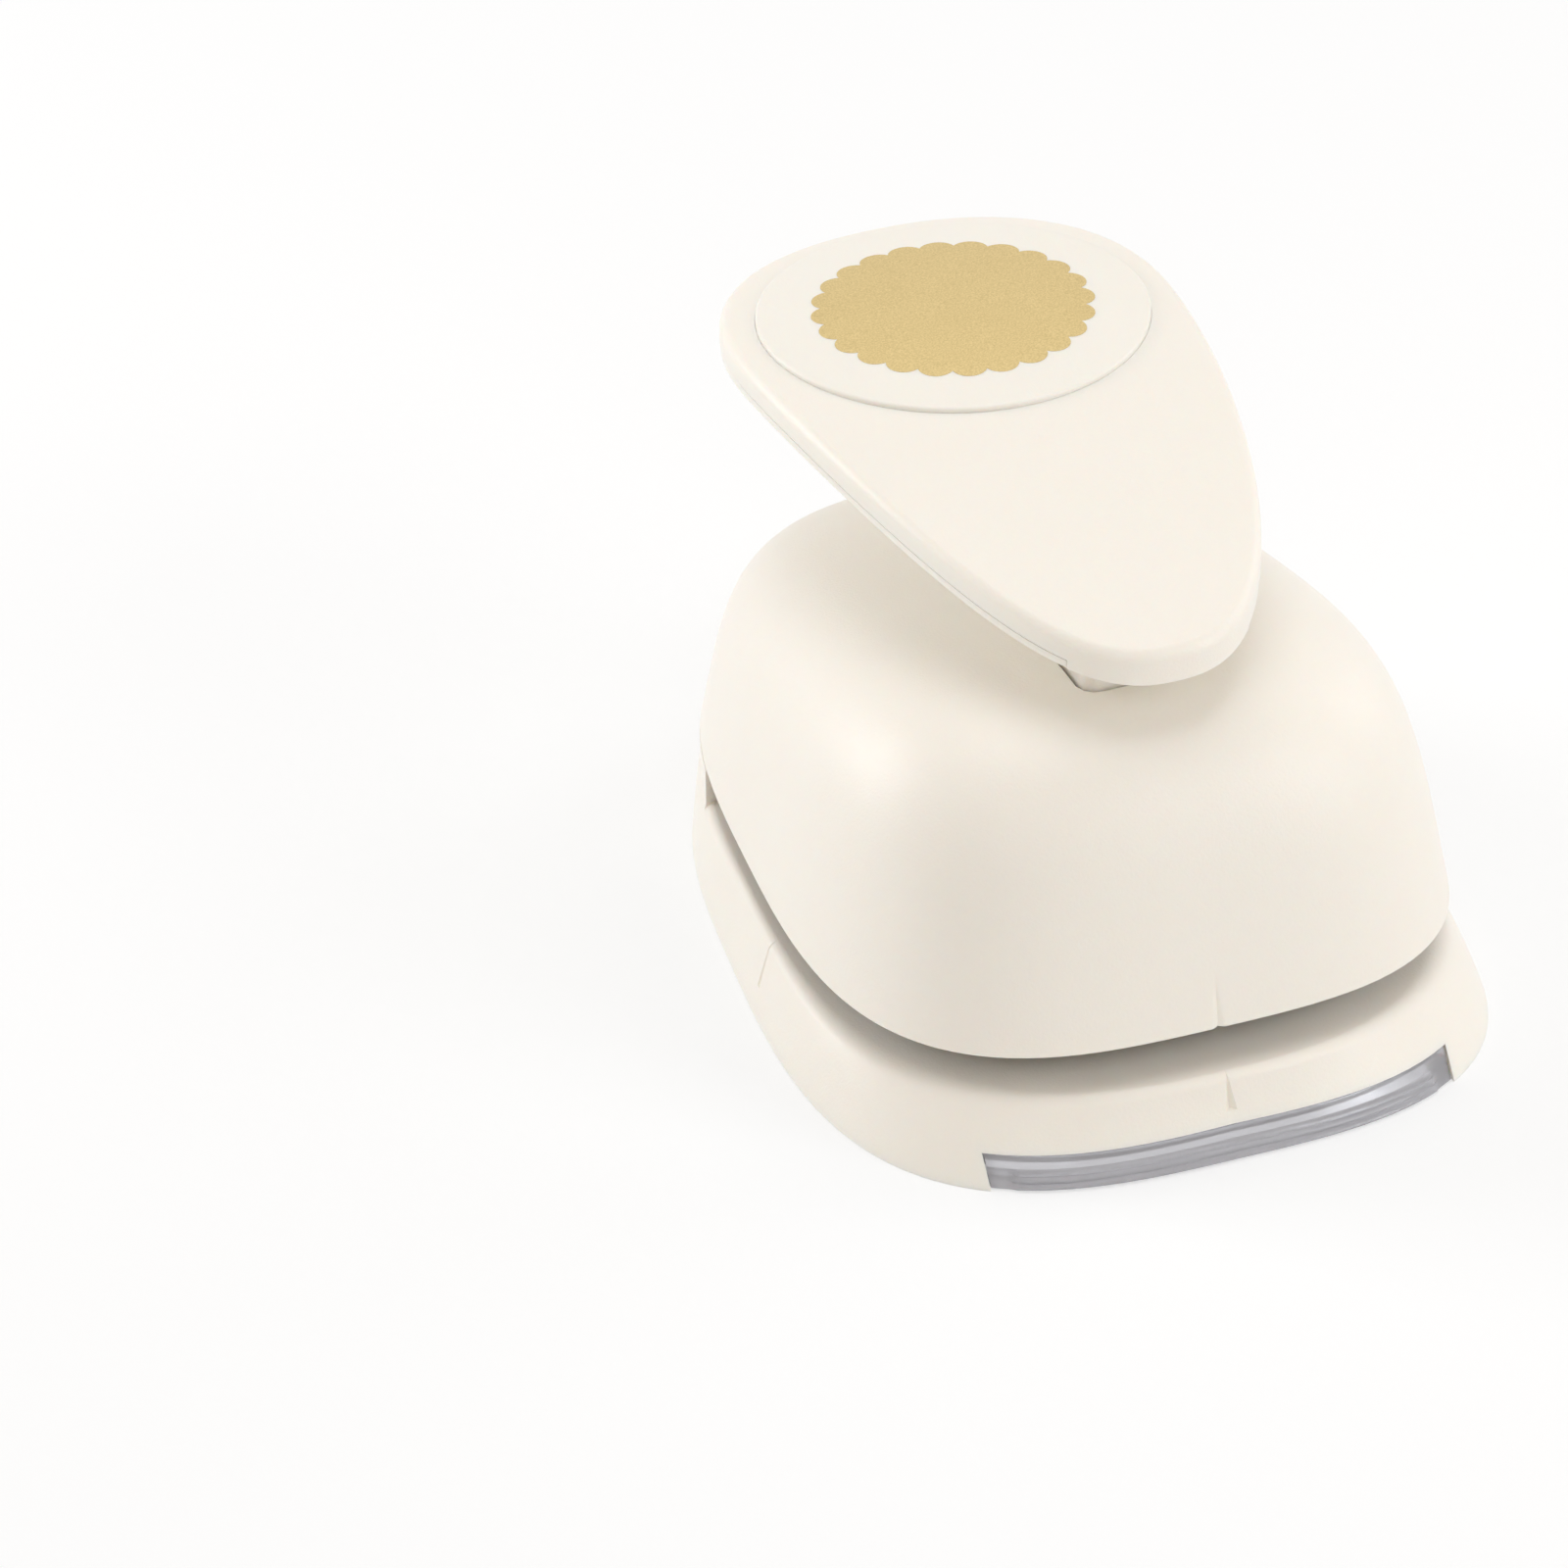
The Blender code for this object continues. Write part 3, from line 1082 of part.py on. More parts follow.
def lever_slab(name, front, back, inset, high_drop, low_drop):
    """Slab between two drops below the lever's edge, with its sides drawn in from the plan by inset."""
    rings = []
    for i in range(UNDERPLATE_STEPS + 1):
        y = blend(front, back, 1 - (1 - i / UNDERPLATE_STEPS) ** 1.5)
        half = max(lever_half_width(min(y, LEVER_BACK - FIT_GAP), inset), LEVER_WALL)
        high, low = lever_edge(y) - high_drop, lever_edge(y) - low_drop
        rings.append([(-half, y, low), (half, y, low), (half, y, high), (-half, y, high)])
    return loft(name, rings)


def lever_shell():
    """Crowned top shell with a rounded edge, a side wall that is deeper round the tip, and a seat."""
    outer, inner = lever_outline(), lever_outline(LEVER_WALL)
    deep = LEVER_SKIRT + LEVER_CHIN_DEPTH
    rings = [[(x, y, lever_edge(y) - deep) for x, y in outer]]
    for turn in (0, 30, 60, 90):
        angle = math.radians(turn)
        inset = LEVER_EDGE_RADIUS * (1 - math.cos(angle))
        sunk = LEVER_EDGE_RADIUS * (1 - math.sin(angle))
        rings.append([(x, y, lever_top(x, y) - sunk) for x, y in lever_outline(inset)])
    edge = lever_outline(LEVER_EDGE_RADIUS)
    for share in (0.8, 0.55, 0.3, 0.05):
        rings.append(lever_inner_ring(edge, share, 0.0))
    hollow = [[(x, y, lever_edge(y) - deep) for x, y in inner]]
    for share in (1, 0.7, 0.4, 0.05):
        hollow.append(lever_inner_ring(inner, share, LEVER_WALL))
    shell = loft("lever_shell", list(reversed(hollow)) + rings)
    subtract(shell, lever_slab("rebate", LEVER_CHIN_Y, LEVER_BACK + OVERRUN, -OVERRUN, LEVER_SKIRT, OVERRUN * 2))
    for place in LEVER_SCREWS + BEAM_SCREWS:
        unite(shell, lever_boss(place))
    subtract(shell, crowned_disc("seat", DISC_RADIUS + FIT_GAP, -DISC_SEAT - FIT_GAP, OVERRUN, 0.0))
    for x, y in LEVER_SCREWS + BEAM_SCREWS:
        drill(shell, [(x, y)], SCREW_RADIUS + FIT_GAP, lever_edge(y) - LEVER_SKIRT - OVERRUN,
              lever_screw_tip(x, y) + FIT_GAP)
    return shell


def lever_inner_ring(outline, share, sunk):
    """Copy of a lever outline, scaled towards the middle and laid on its top face or below it."""
    points = [(x * share, LEVER_MID + (y - LEVER_MID) * share) for x, y in outline]
    return [(x, y, lever_top(x, y) - sunk) for x, y in points]


def lever_screw_tip(x, y):
    """Height that a lever screw reaches in its boss, below the seat of the disc."""
    ceiling = lever_top(x, y) - LEVER_WALL
    return blend(lever_edge(y) - LEVER_SKIRT, ceiling, LEVER_SCREW_BITE_SHARE)


def lever_boss(place):
    """Boss under the shell that takes a screw; over the beam it only reaches down to the beam."""
    x, y = place
    low = beam_top(y + LEVER_BOSS_RADIUS) + FIT_GAP if place in BEAM_SCREWS else lever_edge(y) - LEVER_SKIRT
    high = lever_top(x, y) - LEVER_WALL / 2 - DISC_SEAT
    return prism("boss", circle(x, y, LEVER_BOSS_RADIUS, 12), low, high)


def crowned_disc(name, radius, low, high, edge):
    """Round disc that follows the lever's crowned top, between two offsets from that face."""
    rings = []
    for share in (0.1, 0.55, 1):
        rings.append([(x, y, lever_top(x, y) + low) for x, y in circle(0, DISC_Y, radius * share, DISC_STEPS)])
    if edge:
        rings.append([(x, y, lever_top(x, y) + high - edge) for x, y in circle(0, DISC_Y, radius, DISC_STEPS)])
    for share in (1, 0.55, 0.1):
        reach = (radius - edge) * share
        rings.append([(x, y, lever_top(x, y) + high) for x, y in circle(0, DISC_Y, reach, DISC_STEPS)])
    return loft(name, rings)


def lever_underplate():
    """Thin plate that closes the lever from below, with an opening for the neck."""
    high, low = LEVER_SKIRT + FIT_GAP, LEVER_SKIRT + FIT_GAP + UNDERPLATE_THICKNESS
    seam = LEVER_CHIN_Y + FIT_GAP
    plate = lever_slab("lever_underplate", seam, LEVER_BACK - FIT_GAP, FIT_GAP / 2, high, low)
    front = LEVER_FRONT + LEVER_WALL + FIT_GAP * 4
    unite(plate, lever_slab("tongue", front, seam + FIT_GAP, LEVER_WALL + FIT_GAP, high, low))
    half = NECK_HALF_WIDTH + FIT_GAP * 2
    hole = box("hole", -half, half, NECK_FRONT - FIT_GAP * 2, NECK_BACK + FIT_GAP * 4,
               lever_edge(LEVER_FRONT) - LEVER_TOP, LEVER_TOP)
    subtract(plate, hole)
    for x, y in LEVER_SCREWS + BEAM_SCREWS:
        drill(plate, [(x, y)], SCREW_RADIUS + FIT_GAP, lever_edge(y) - LEVER_SKIRT * 2, lever_edge(y))
    return plate


def beam_top(y):
    """Top of the lever's beam, just under the shell."""
    return lever_top(NECK_HALF_WIDTH, y) - LEVER_WALL - 2 * FIT_GAP


def beam_low(y):
    """Underside of the lever's beam, just over the underplate."""
    return lever_edge(y) - LEVER_SKIRT


def lever_core():
    """Stiff inner arm: a beam inside the lever, and the neck with its pivot eye and pressing nose."""
    upper = [blend(BEAM_BACK, BEAM_FRONT, i / BEAM_STEPS) for i in range(BEAM_STEPS + 1)]
    outline = [(y, beam_top(y)) for y in upper]
    outline += [(y, beam_low(y)) for y in reversed(upper)]
    core = side_plate("lever_core", outline, -NECK_HALF_WIDTH, NECK_HALF_WIDTH)
    root = beam_low(NECK_BACK) + FIT_GAP * 2
    outline = [(NECK_BACK, root), (NECK_FRONT, beam_low(NECK_FRONT) + FIT_GAP * 2)]
    outline += arc(PIVOT_Y, PIVOT_HEIGHT, NECK_EYE_RADIUS, 178, 266)
    outline += arc(0, NOSE_HEIGHT, NOSE_RADIUS, 258, 370)
    outline += [(NECK_BACK + NOSE_RADIUS / 2, NOSE_HEIGHT + NOSE_RADIUS * 2)]
    reach = NECK_HALF_WIDTH + OVERRUN
    neck = side_plate("neck", outline, -reach, reach)
    plan = rounded_rectangle(-NECK_HALF_WIDTH + FIT_GAP / 3, NECK_HALF_WIDTH - FIT_GAP / 3, NECK_FRONT - FIT_GAP / 3,
                             NOSE_RADIUS * 2, NECK_CORNER)
    combine(neck, [prism("round", plan, NOSE_HEIGHT - NOSE_RADIUS * 2, LEVER_TOP)], "INTERSECT")
    unite(core, neck)
    eye = arc(PIVOT_Y, PIVOT_HEIGHT, PIN_RADIUS + FIT_GAP, 0, 360, HOLE_STEPS)[:-1]
    subtract(core, side_plate("eye", eye, -NECK_HALF_WIDTH - OVERRUN, NECK_HALF_WIDTH + OVERRUN))
    for x, y in BEAM_SCREWS:
        drill(core, [(x, y)], SCREW_RADIUS + FIT_GAP, beam_low(y) - OVERRUN, beam_top(y) + OVERRUN)
    return core


def lever_disc():
    """Raised round disc on the wide end of the lever."""
    return crowned_disc("lever_disc", DISC_RADIUS, -DISC_SEAT, DISC_RISE, DISC_EDGE)


def build():
    """Model the whole punch."""
    for item in list(bpy.data.objects):
        bpy.data.objects.remove(item)
    body = empty("body", (0, 0, 0))
    front = base_point(-math.pi / 2, TRAY_LIP_LOW)[1]
    body.location = (0, -(front + LEVER_BACK) / 2, 0)
    lever = empty("lever_axis", (0, PIVOT_Y, PIVOT_HEIGHT), body)
    plunger = empty("plunger_axis", (0, 0, PUNCH_LOW), body)
    tray = empty("tray_slide", (0, TRAY_BACK, TRAY_LOW), body)

    finish(base_shell(), IVORY, body)
    finish(die_plate(), STEEL, body)
    finish(guide_plate(), STEEL, body)
    for side_name, side in (("left", -1), ("right", 1)):
        finish(plate_spacer(side_name, side), STEEL, body)
        finish(plate_rivet(side_name, side), STEEL, body)
        finish(screw("dome_screw_rear_" + side_name, (side * REAR_SCREW_X, REAR_SCREW_Y),
                     REAR_SCREW_SEAT - FIT_GAP, GUIDE_SEAT + REAR_SCREW_REACH), STEEL, body)
        finish(sunk_screw("dome_screw_front_" + side_name, (side * FRONT_SCREW_X, FRONT_SCREW_Y),
                          GUIDE_LOW, GUIDE_SEAT + FRONT_SCREW_REACH), STEEL, body)
    finish(chip_tray(), CLEAR, tray)
    finish(punch_head(), TOOL_STEEL, plunger)
    finish(punch_carrier(), GREY_PLASTIC, plunger)
    seat = CARRIER_LOW + CARRIER_FLANGE_THICKNESS + FIT_GAP
    for number, place in enumerate(carrier_screw_places(), 1):
        finish(screw("carrier_screw_%d" % number, place, seat, PUNCH_TOP - CARRIER_SCREW_REACH,
                     CARRIER_SCREW_HEAD_HEIGHT, CARRIER_SCREW_RADIUS, CARRIER_SCREW_HEAD_RADIUS), STEEL, plunger)
    finish(pressure_pad(), STEEL, plunger)
    for number, place in enumerate(corner_places(POST_PLACE), 1):
        finish(guide_post(number, place), STEEL, body)
        finish(return_spring(number, place), SPRING_STEEL, body)
    finish(pivot_bracket(), STEEL, body)
    for (side_name, place) in zip(("left", "right"), bracket_screw_places()):
        finish(screw("bracket_screw_" + side_name, place, GUIDE_SEAT + BRACKET_GAUGE + FIT_GAP,
                     GUIDE_LOW + FIT_GAP), STEEL, body)
    finish(pivot_pin(), STEEL, body)
    finish(pin_clip(), SPRING_STEEL, body)
    finish(dome_shell(), IVORY, body)
    finish(lever_core(), IVORY, lever)
    finish(lever_shell(), IVORY, lever)
    finish(lever_underplate(), IVORY, lever)
    finish(lever_disc(), IVORY, lever)
    for number, (x, y) in enumerate(LEVER_SCREWS + BEAM_SCREWS, 1):
        seat = lever_edge(y) - LEVER_SKIRT - FIT_GAP * 3 - UNDERPLATE_THICKNESS
        finish(screw("lever_screw_%d" % number, (x, y), seat, lever_screw_tip(x, y), LEVER_SCREW_HEAD_HEIGHT),
               STEEL, lever)


build()
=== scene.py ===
import json
from collections import namedtuple
from math import atan, atan2, copysign, cos, hypot, pi, radians, sin, sqrt, tau

import bmesh
import bpy
from mathutils import Matrix, Vector


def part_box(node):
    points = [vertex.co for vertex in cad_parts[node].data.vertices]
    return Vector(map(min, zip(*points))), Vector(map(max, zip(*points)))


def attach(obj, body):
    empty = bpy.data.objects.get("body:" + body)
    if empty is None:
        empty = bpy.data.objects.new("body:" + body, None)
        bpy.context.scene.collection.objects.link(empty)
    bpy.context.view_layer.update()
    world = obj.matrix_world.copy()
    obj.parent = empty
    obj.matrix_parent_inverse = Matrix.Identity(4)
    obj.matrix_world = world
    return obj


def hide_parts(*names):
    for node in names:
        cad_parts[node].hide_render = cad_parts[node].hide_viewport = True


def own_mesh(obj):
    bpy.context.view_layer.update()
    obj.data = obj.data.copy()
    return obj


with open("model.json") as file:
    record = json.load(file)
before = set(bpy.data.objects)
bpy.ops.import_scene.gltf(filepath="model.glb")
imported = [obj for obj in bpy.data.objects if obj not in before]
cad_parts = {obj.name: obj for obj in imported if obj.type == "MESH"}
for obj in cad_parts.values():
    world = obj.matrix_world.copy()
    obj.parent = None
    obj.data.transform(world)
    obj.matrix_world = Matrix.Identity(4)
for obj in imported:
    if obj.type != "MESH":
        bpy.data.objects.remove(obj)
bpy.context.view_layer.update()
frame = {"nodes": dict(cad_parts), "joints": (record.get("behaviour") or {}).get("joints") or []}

# An egg-shaped plan: its reach each way, how square its front and its rear are, how it narrows to the rear
Plan = namedtuple("Plan", "half_width front mid back front_power back_power taper")

# A pointed mark pressed in a wall, whose top is top_share as wide as its foot
Mark = namedtuple("Mark", "height half_width depth top_share")

# Fits, in metres like every length here
FIT_GAP = 0.0003
CUT_GAP = 0.0002
OVERRUN = 0.004

# Plans of the body and of the steel plates
DOME_PLAN = Plan(half_width=0.0508, front=-0.05935, mid=0.0167, back=0.0791,
                 front_power=3.085, back_power=3.085, taper=0.136)
DECK_PLAN = DOME_PLAN._replace(front=-0.0625, front_power=2.6)
SKIRT_PLAN = Plan(half_width=0.0537, front=-0.0690, mid=0.0167, back=0.0815,
                  front_power=3.0, back_power=2.89, taper=0.165)
DIE_PLAN = Plan(half_width=0.0430, front=-0.0435, mid=0.0050, back=0.0660,
                front_power=3.3, back_power=6.0, taper=0.13)
GUIDE_PLAN = DIE_PLAN._replace(front=-0.0500)
BODY_STEPS = 240
PLATE_STEPS = 144
CORNER_SHARE = 0.11

# The cut shape, and the foil sample of it on the lever
SHAPE_RADIUS = 0.0380
SCALLOP_DEPTH = 0.0024
SCALLOP_COUNT = 24
SCALLOP_STEPS = 10
FOIL_RADIUS = 0.0230
FOIL_DEPTH = 0.0017
FOIL_THICKNESS = 0.00005

# Dome
DOME_HEIGHT = 0.0615
DOME_WALL = 0.0022
DOME_POWER = 4.6
DOME_DRAFT_SHARE = 0.134
DOME_SHIFT = 0.00195
DOME_SLOPE_SHARE = -0.154
DOME_RINGS = 34
DOME_CLIMB_STEP = 0.002
CAP_START_SHARE = 0.72
CAP_RINGS = 26
CAP_SPREAD_POWER = 1.15
RIM_HEIGHT = 0.0191
RIM_ROUND = 0.0005
WINDOW_HALF_WIDTH = 0.0106
WINDOW_FRONT = -0.0289
WINDOW_BACK = 0.0095
WINDOW_CORNER = 0.0032
WINDOW_ROUND = 0.0005
DOME_BOSS_RADIUS = 0.0036
DOME_RIB_THICKNESS = 0.0016
PILOT_DEPTH = 0.0150
DOME_HALVINGS = 32

# The solid that trims the dome's bosses, and how far it goes up in its skirt
CORE_RINGS = 17
CORE_OVERLAP = 0.02

# Base
BASE_WALL = 0.0024
BASE_FOOT_ROUND = 0.0004
BASE_LEVEL_RINGS = 7
BASE_HALVINGS = 30
DECK_HEIGHT = 0.0125
DECK_FLOOR = 0.0020
DECK_EDGE_RADIUS = 0.0015
FLARE_POWER = 1.6
FLARE_CORNER_POWER = 0.6
SHOULDER_FRONT = 0.0418
SHOULDER_END_WALL = 0.0022
CHIP_HOLE_RADIUS = 0.0392
NOTCH_HALF_WIDTH = 0.0397
NOTCH_HEIGHT = 0.0050
NOTCH_DEPTH = 0.0200
BASE_BOSS_RADIUS = 0.0046
BASE_BOSS_LOW = 0.0010

# Rails that carry the chip tray
RAIL_THICKNESS = 0.0018
RAIL_LIP_REACH = 0.0022
RAIL_LIP_LOW = 0.0003
RAIL_LIP_THICKNESS = 0.0010
RAIL_FRONT = -0.0430

# Alignment marks
BASE_MARK = Mark(height=0.0057, half_width=0.0010, depth=0.0011, top_share=0.1)
SIDE_MARK = Mark(height=0.0080, half_width=0.0005, depth=0.0006, top_share=0.4)
DOME_MARK = Mark(height=0.0075, half_width=0.0010, depth=0.0006, top_share=0.25)

# Within this many half widths of a mark's middle, the wall has the mark's points alone
MARK_CLEAR = 2.5

# Chip tray
TRAY_HALF_WIDTH = 0.0392
TRAY_BACK = 0.0415
TRAY_FLOOR = 0.0010
TRAY_WALL = 0.0010
TRAY_FACE_INSET = 0.0048
TRAY_LIP_DEPTH = 0.0030
TRAY_LIP_LOW = 0.0003
TRAY_LIP_SWEEP = radians(62)
TRAY_RIDGE_COUNT = 3
TRAY_RIDGE_DEPTH = 0.0004
TRAY_RIDGE_STEPS = 8
TRAY_RIDGE_POWER = 0.6
TRAY_RIDGES_SHARE = 0.62
TRAY_END_LENGTH = 0.0034
TRAY_END_DEPTH = TRAY_RIDGE_DEPTH * 1.5
TRAY_STEPS = 200

# Plates and fasteners
PLATE_THICKNESS = 0.0020
SPACER_THICKNESS = 0.0010
SCREW_RADIUS = 0.0015
SCREW_HEAD_RADIUS = 0.0028
SCREW_HEAD_HEIGHT = 0.0016
SCREW_HOLE = SCREW_RADIUS + FIT_GAP
HEAD_HOLE = SCREW_HEAD_RADIUS + FIT_GAP
ROUND_STEPS = 32
REAR_SCREW = (0.0300, 0.0530)
REAR_SCREW_SEAT = 0.0045
REAR_SCREW_REACH = 0.0100
FRONT_SCREW = (0.0240, -0.0435)
RIVET = (0.0300, 0.0460)
BRACKET_SCREW = (0.0157, -0.0435)

# A screw's tip, its cross recess and the curve of its head
SCREW_TIP_RADIUS = SCREW_RADIUS * 0.3
RECESS_ARM = (SCREW_HEAD_RADIUS * 0.55, SCREW_HEAD_RADIUS * 0.13)
RECESS_SHARE = 0.7
HEAD_CROWN_SHARE = 0.5
HEAD_RIM_SHARE = 0.3
HEAD_TURNS = (65, 45, 25, 10)
HEAD_TURN_START = 20
HEAD_TURN_RATIO = 1.6

# Punch, carrier, posts and springs
PUNCH_THICKNESS = 0.0100
PUNCH_SHEAR = 0.0012
PUNCH_RINGS = 12
PUNCH_POCKET_RADIUS = 0.0280
PUNCH_POCKET_FLOOR = 0.0050
PUNCH_POCKET_STEPS = 96
CARRIER_HEIGHT = 0.0163
CARRIER_BOSS_HEIGHT = 0.0065
CARRIER_SCREW_PLACE = 0.0332
CARRIER_SCREW_REACH = 0.0040
CARRIER_SCREW_RADIUS = 0.0011
ARM_THICKNESS = 0.0030
ARM_DROP = 0.0006
PAD_THICKNESS = 0.0020
POST_PLACE = (SHAPE_RADIUS + 0.0080) / sqrt(2)
POST_RADIUS = 0.0020
POST_FLANGE_THICKNESS = 0.0010
SPRING_COIL_RADIUS = 0.0032
SPRING_WIRE_RADIUS = 0.0005
SPRING_TURNS = 6
SPRING_TURN_POINTS = 28
SPRING_END_PITCH = 0.0016
WIRE_SIDES = 12

# Lever plan and crowned top
LEVER_HALF_WIDTH = 0.0369
LEVER_MID = 0.0487
LEVER_FRONT = -0.0413
LEVER_BACK = 0.0863
LEVER_FRONT_POWER = 1.54
LEVER_FRONT_ROUND_SHARE = 0.415
LEVER_BACK_POWER = 2.32
LEVER_TOP = 0.0910
LEVER_TOP_PEAK = 0.0398
LEVER_FRONT_DROP = 0.0124
LEVER_BACK_DROP = 0.0048
LEVER_SIDE_DROP = 0.0018
LEVER_WALL = 0.0022
LEVER_EDGE_RADIUS = 0.0018
LEVER_SKIRT = 0.0040
LEVER_CHIN_DEPTH = 0.0015
LEVER_CHIN_Y = -0.0340
LEVER_STEPS = 240
LEVER_RINGS = 30
UNDERPLATE_THICKNESS = 0.0012
UNDERPLATE_STEPS = 90
UNDERPLATE_SPREAD_POWER = 1.5

# Neck of the lever, its beam and its screws
PIVOT_Y = -0.0240
PIVOT_HEIGHT = 0.0580
PIN_RADIUS = 0.0025
NECK_HALF_WIDTH = 0.0101
NECK_FRONT = -0.0284
NECK_BACK = -0.0020
NECK_EYE_RADIUS = 0.0053
NECK_CORNER = 0.0027
NOSE_RADIUS = 0.0060
BEAM_FRONT = -0.0345
BEAM_BACK = 0.0500
BEAM_STEPS = 24
ARC_STEPS = 24
CORNER_STEPS = 10
BEAM_SCREWS = ((0.0, 0.0080), (0.0, 0.0400))
LEVER_SCREWS = ((-0.0235, 0.0330), (0.0235, 0.0330), (0.0, 0.0705), *BEAM_SCREWS)
LEVER_BOSS_RADIUS = 0.0036
LEVER_SCREW_HEAD_HEIGHT = 0.0007
LEVER_SCREW_BITE_SHARE = 0.6

# Disc on the lever
DISC_RADIUS = 0.03185
DISC_Y = 0.0501
DISC_RISE = 0.00090
DISC_SEAT = 0.0006
DISC_GAP = 0.00005
DISC_EDGE = 0.0005
DISC_STEPS = 180
DISC_RINGS = 14

# Heights that follow from the pieces
POCKET_HEIGHT = DECK_HEIGHT - PLATE_THICKNESS - FIT_GAP
DIE_LOW = POCKET_HEIGHT + FIT_GAP
GUIDE_LOW = DECK_HEIGHT + FIT_GAP + SPACER_THICKNESS + FIT_GAP
GUIDE_TOP = GUIDE_LOW + PLATE_THICKNESS
GUIDE_SEAT = GUIDE_TOP + FIT_GAP
PUNCH_LOW = GUIDE_LOW + FIT_GAP
PUNCH_TOP = PUNCH_LOW + PUNCH_THICKNESS
CARRIER_TOP = PUNCH_TOP + FIT_GAP + CARRIER_HEIGHT
PAD_TOP = CARRIER_TOP + CARRIER_BOSS_HEIGHT + FIT_GAP + PAD_THICKNESS
NOSE_HEIGHT = PAD_TOP + FIT_GAP + NOSE_RADIUS
SPRING_LOW = GUIDE_SEAT + POST_FLANGE_THICKNESS + FIT_GAP
SPRING_TOP = CARRIER_TOP - ARM_DROP - ARM_THICKNESS - FIT_GAP
HOLLOW_TOP = POCKET_HEIGHT - DECK_FLOOR
TRAY_LOW = RAIL_LIP_LOW + RAIL_LIP_THICKNESS + FIT_GAP
TRAY_TOP = NOTCH_HEIGHT - FIT_GAP
RAIL_INNER = TRAY_HALF_WIDTH + FIT_GAP

# Colours
IVORY_PALE = (0.925, 0.890, 0.822)
IVORY_DEEP = (0.902, 0.860, 0.784)
GREY_PALE = (0.20, 0.20, 0.21)
GREY_DEEP = (0.15, 0.15, 0.16)
GOLD_PALE = (0.730, 0.570, 0.270)
GOLD_DEEP = (0.560, 0.420, 0.175)
CLEAR_PALE = (0.86, 0.86, 0.89)
CLEAR_DEEP = (0.80, 0.80, 0.84)
STEEL_DEEP_SHARE = 0.82
FLOOR_MATT = (0.965, 0.985, 1.0, 1)
WORLD_LIGHT = (1.0, 0.90, 0.80, 1)
LAMP_LIGHT = (0.97, 1.0, 1.04)
WHITE = (1, 1, 1, 1)

# Size of each finish's detail
GRAIN_SIZE = 0.00045
GRAIN_DEPTH = 0.00006
CARRIER_GRAIN_DEPTH = 0.00004
CLOUD_SIZE = 0.030
SCUFF_SIZE = 0.0028
FLAKE_SIZE = 0.00030
FLAKE_DEPTH = 0.00003
FOIL_CLOUD_SIZE = 0.009
FLOW_SIZE = 0.005
FLOW_DEPTH = 0.00002
LINE_SIZE = 0.00018
LINE_DEPTH = 0.00002
STAIN_SIZE = 0.012

# Faces that meet at more than this keep a sharp edge between them
SHARP_ANGLE = radians(30)

# Light and camera: each lamp's place, the height it aims at, its width, depth and watts
LAMPS = {"overhead": ((0.10, 0.15, 1.20), 0.05, 0.90, 0.90, 4.4),
         "left_back": ((-0.73, 0.57, 0.37), 0.05, 0.45, 0.60, 3.5),
         "right_front": ((0.60, -0.66, 0.45), 0.05, 0.45, 0.60, 2.2),
         "right": ((0.86, 0.08, 0.50), 0.05, 0.45, 0.60, 1.1),
         "front": ((-0.37, -0.85, 0.75), 0.03, 0.60, 0.45, 0.9)}
WORLD_STRENGTH = 0.49
FLOOR_REACH = 4.0

# The floor's own white, as a share: least near the punch, where its shadow falls, and all far off
FLOOR_NEAR = 0.2
FLOOR_FADE_RATE = 2.0
FLOOR_WHITE_SHARE = 0.5

# Camera, to the left of the front and above it
CAMERA_AZIMUTH = radians(-21.2)
CAMERA_ELEVATION = radians(32.8)
CAMERA_ROLL = radians(-0.78)
CAMERA_LENS = 278.88
CAMERA_TARGET = (-0.0262, 0.051725, 0)
CAMERA_DISTANCE = 2.0

# The die's axis in the frame, taken from the punch, which stands on it
punch_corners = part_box("punch_head")
DIE_AXIS_Y = (punch_corners[0].y + punch_corners[1].y) / 2


def signed_power(value, power):
    """Power of a number that keeps the number's sign."""
    return copysign(abs(value) ** power, value)


def blend(start, end, share):
    """Value that lies the given share of the way from start to end."""
    return start + (end - start) * share


def spread(start, end, steps):
    """Evenly spaced values from start to end."""
    return [blend(start, end, i / steps) for i in range(steps + 1)]


def directions(count):
    """Evenly spaced angles round a full turn."""
    return [tau * i / count for i in range(count)]


def rounding(radius, turns):
    """How far a rounded edge has come in, and how far it still has to rise, at turns in degrees."""
    for angle in map(radians, turns):
        yield radius * (1 - cos(angle)), radius * (1 - sin(angle))


def halving(low, high, steps, before):
    """Value between low and high up to which before() holds, found by halving."""
    for _ in range(steps):
        middle = (low + high) / 2
        if before(middle):
            low = middle
        else:
            high = middle
    return middle


def both_sides(*places):
    """Places in plan, on the left and then on the right."""
    return [(side * x, y) for side in (-1, 1) for x, y in places]


def corner_places(place):
    """The four places in plan at one distance from both middle planes."""
    return [(x * place, y * place) for x, y in ((-1, -1), (1, -1), (1, 1), (-1, 1))]


def egg_directions(steps=BODY_STEPS):
    """Directions round an egg-shaped plan, closer together at its corners."""
    return [angle + CORNER_SHARE * sin(4 * angle) for angle in directions(steps)]


def egg_point(angle, plan, inset=0.0):
    """Point of an egg-shaped plan, drawn in by inset, seen from its middle in the direction angle."""
    cosine, sine = cos(angle), sin(angle)
    power = plan.back_power if sine > 0 else plan.front_power
    rear = plan.back - inset - plan.mid
    length = rear if sine > 0 else plan.mid - plan.front - inset
    wide = abs(cosine / (plan.half_width - inset)) ** power
    radius = (wide + abs(sine / length) ** power) ** (-1 / power)
    y = radius * sine
    return radius * cosine * (1 - plan.taper * y / rear), plan.mid + y


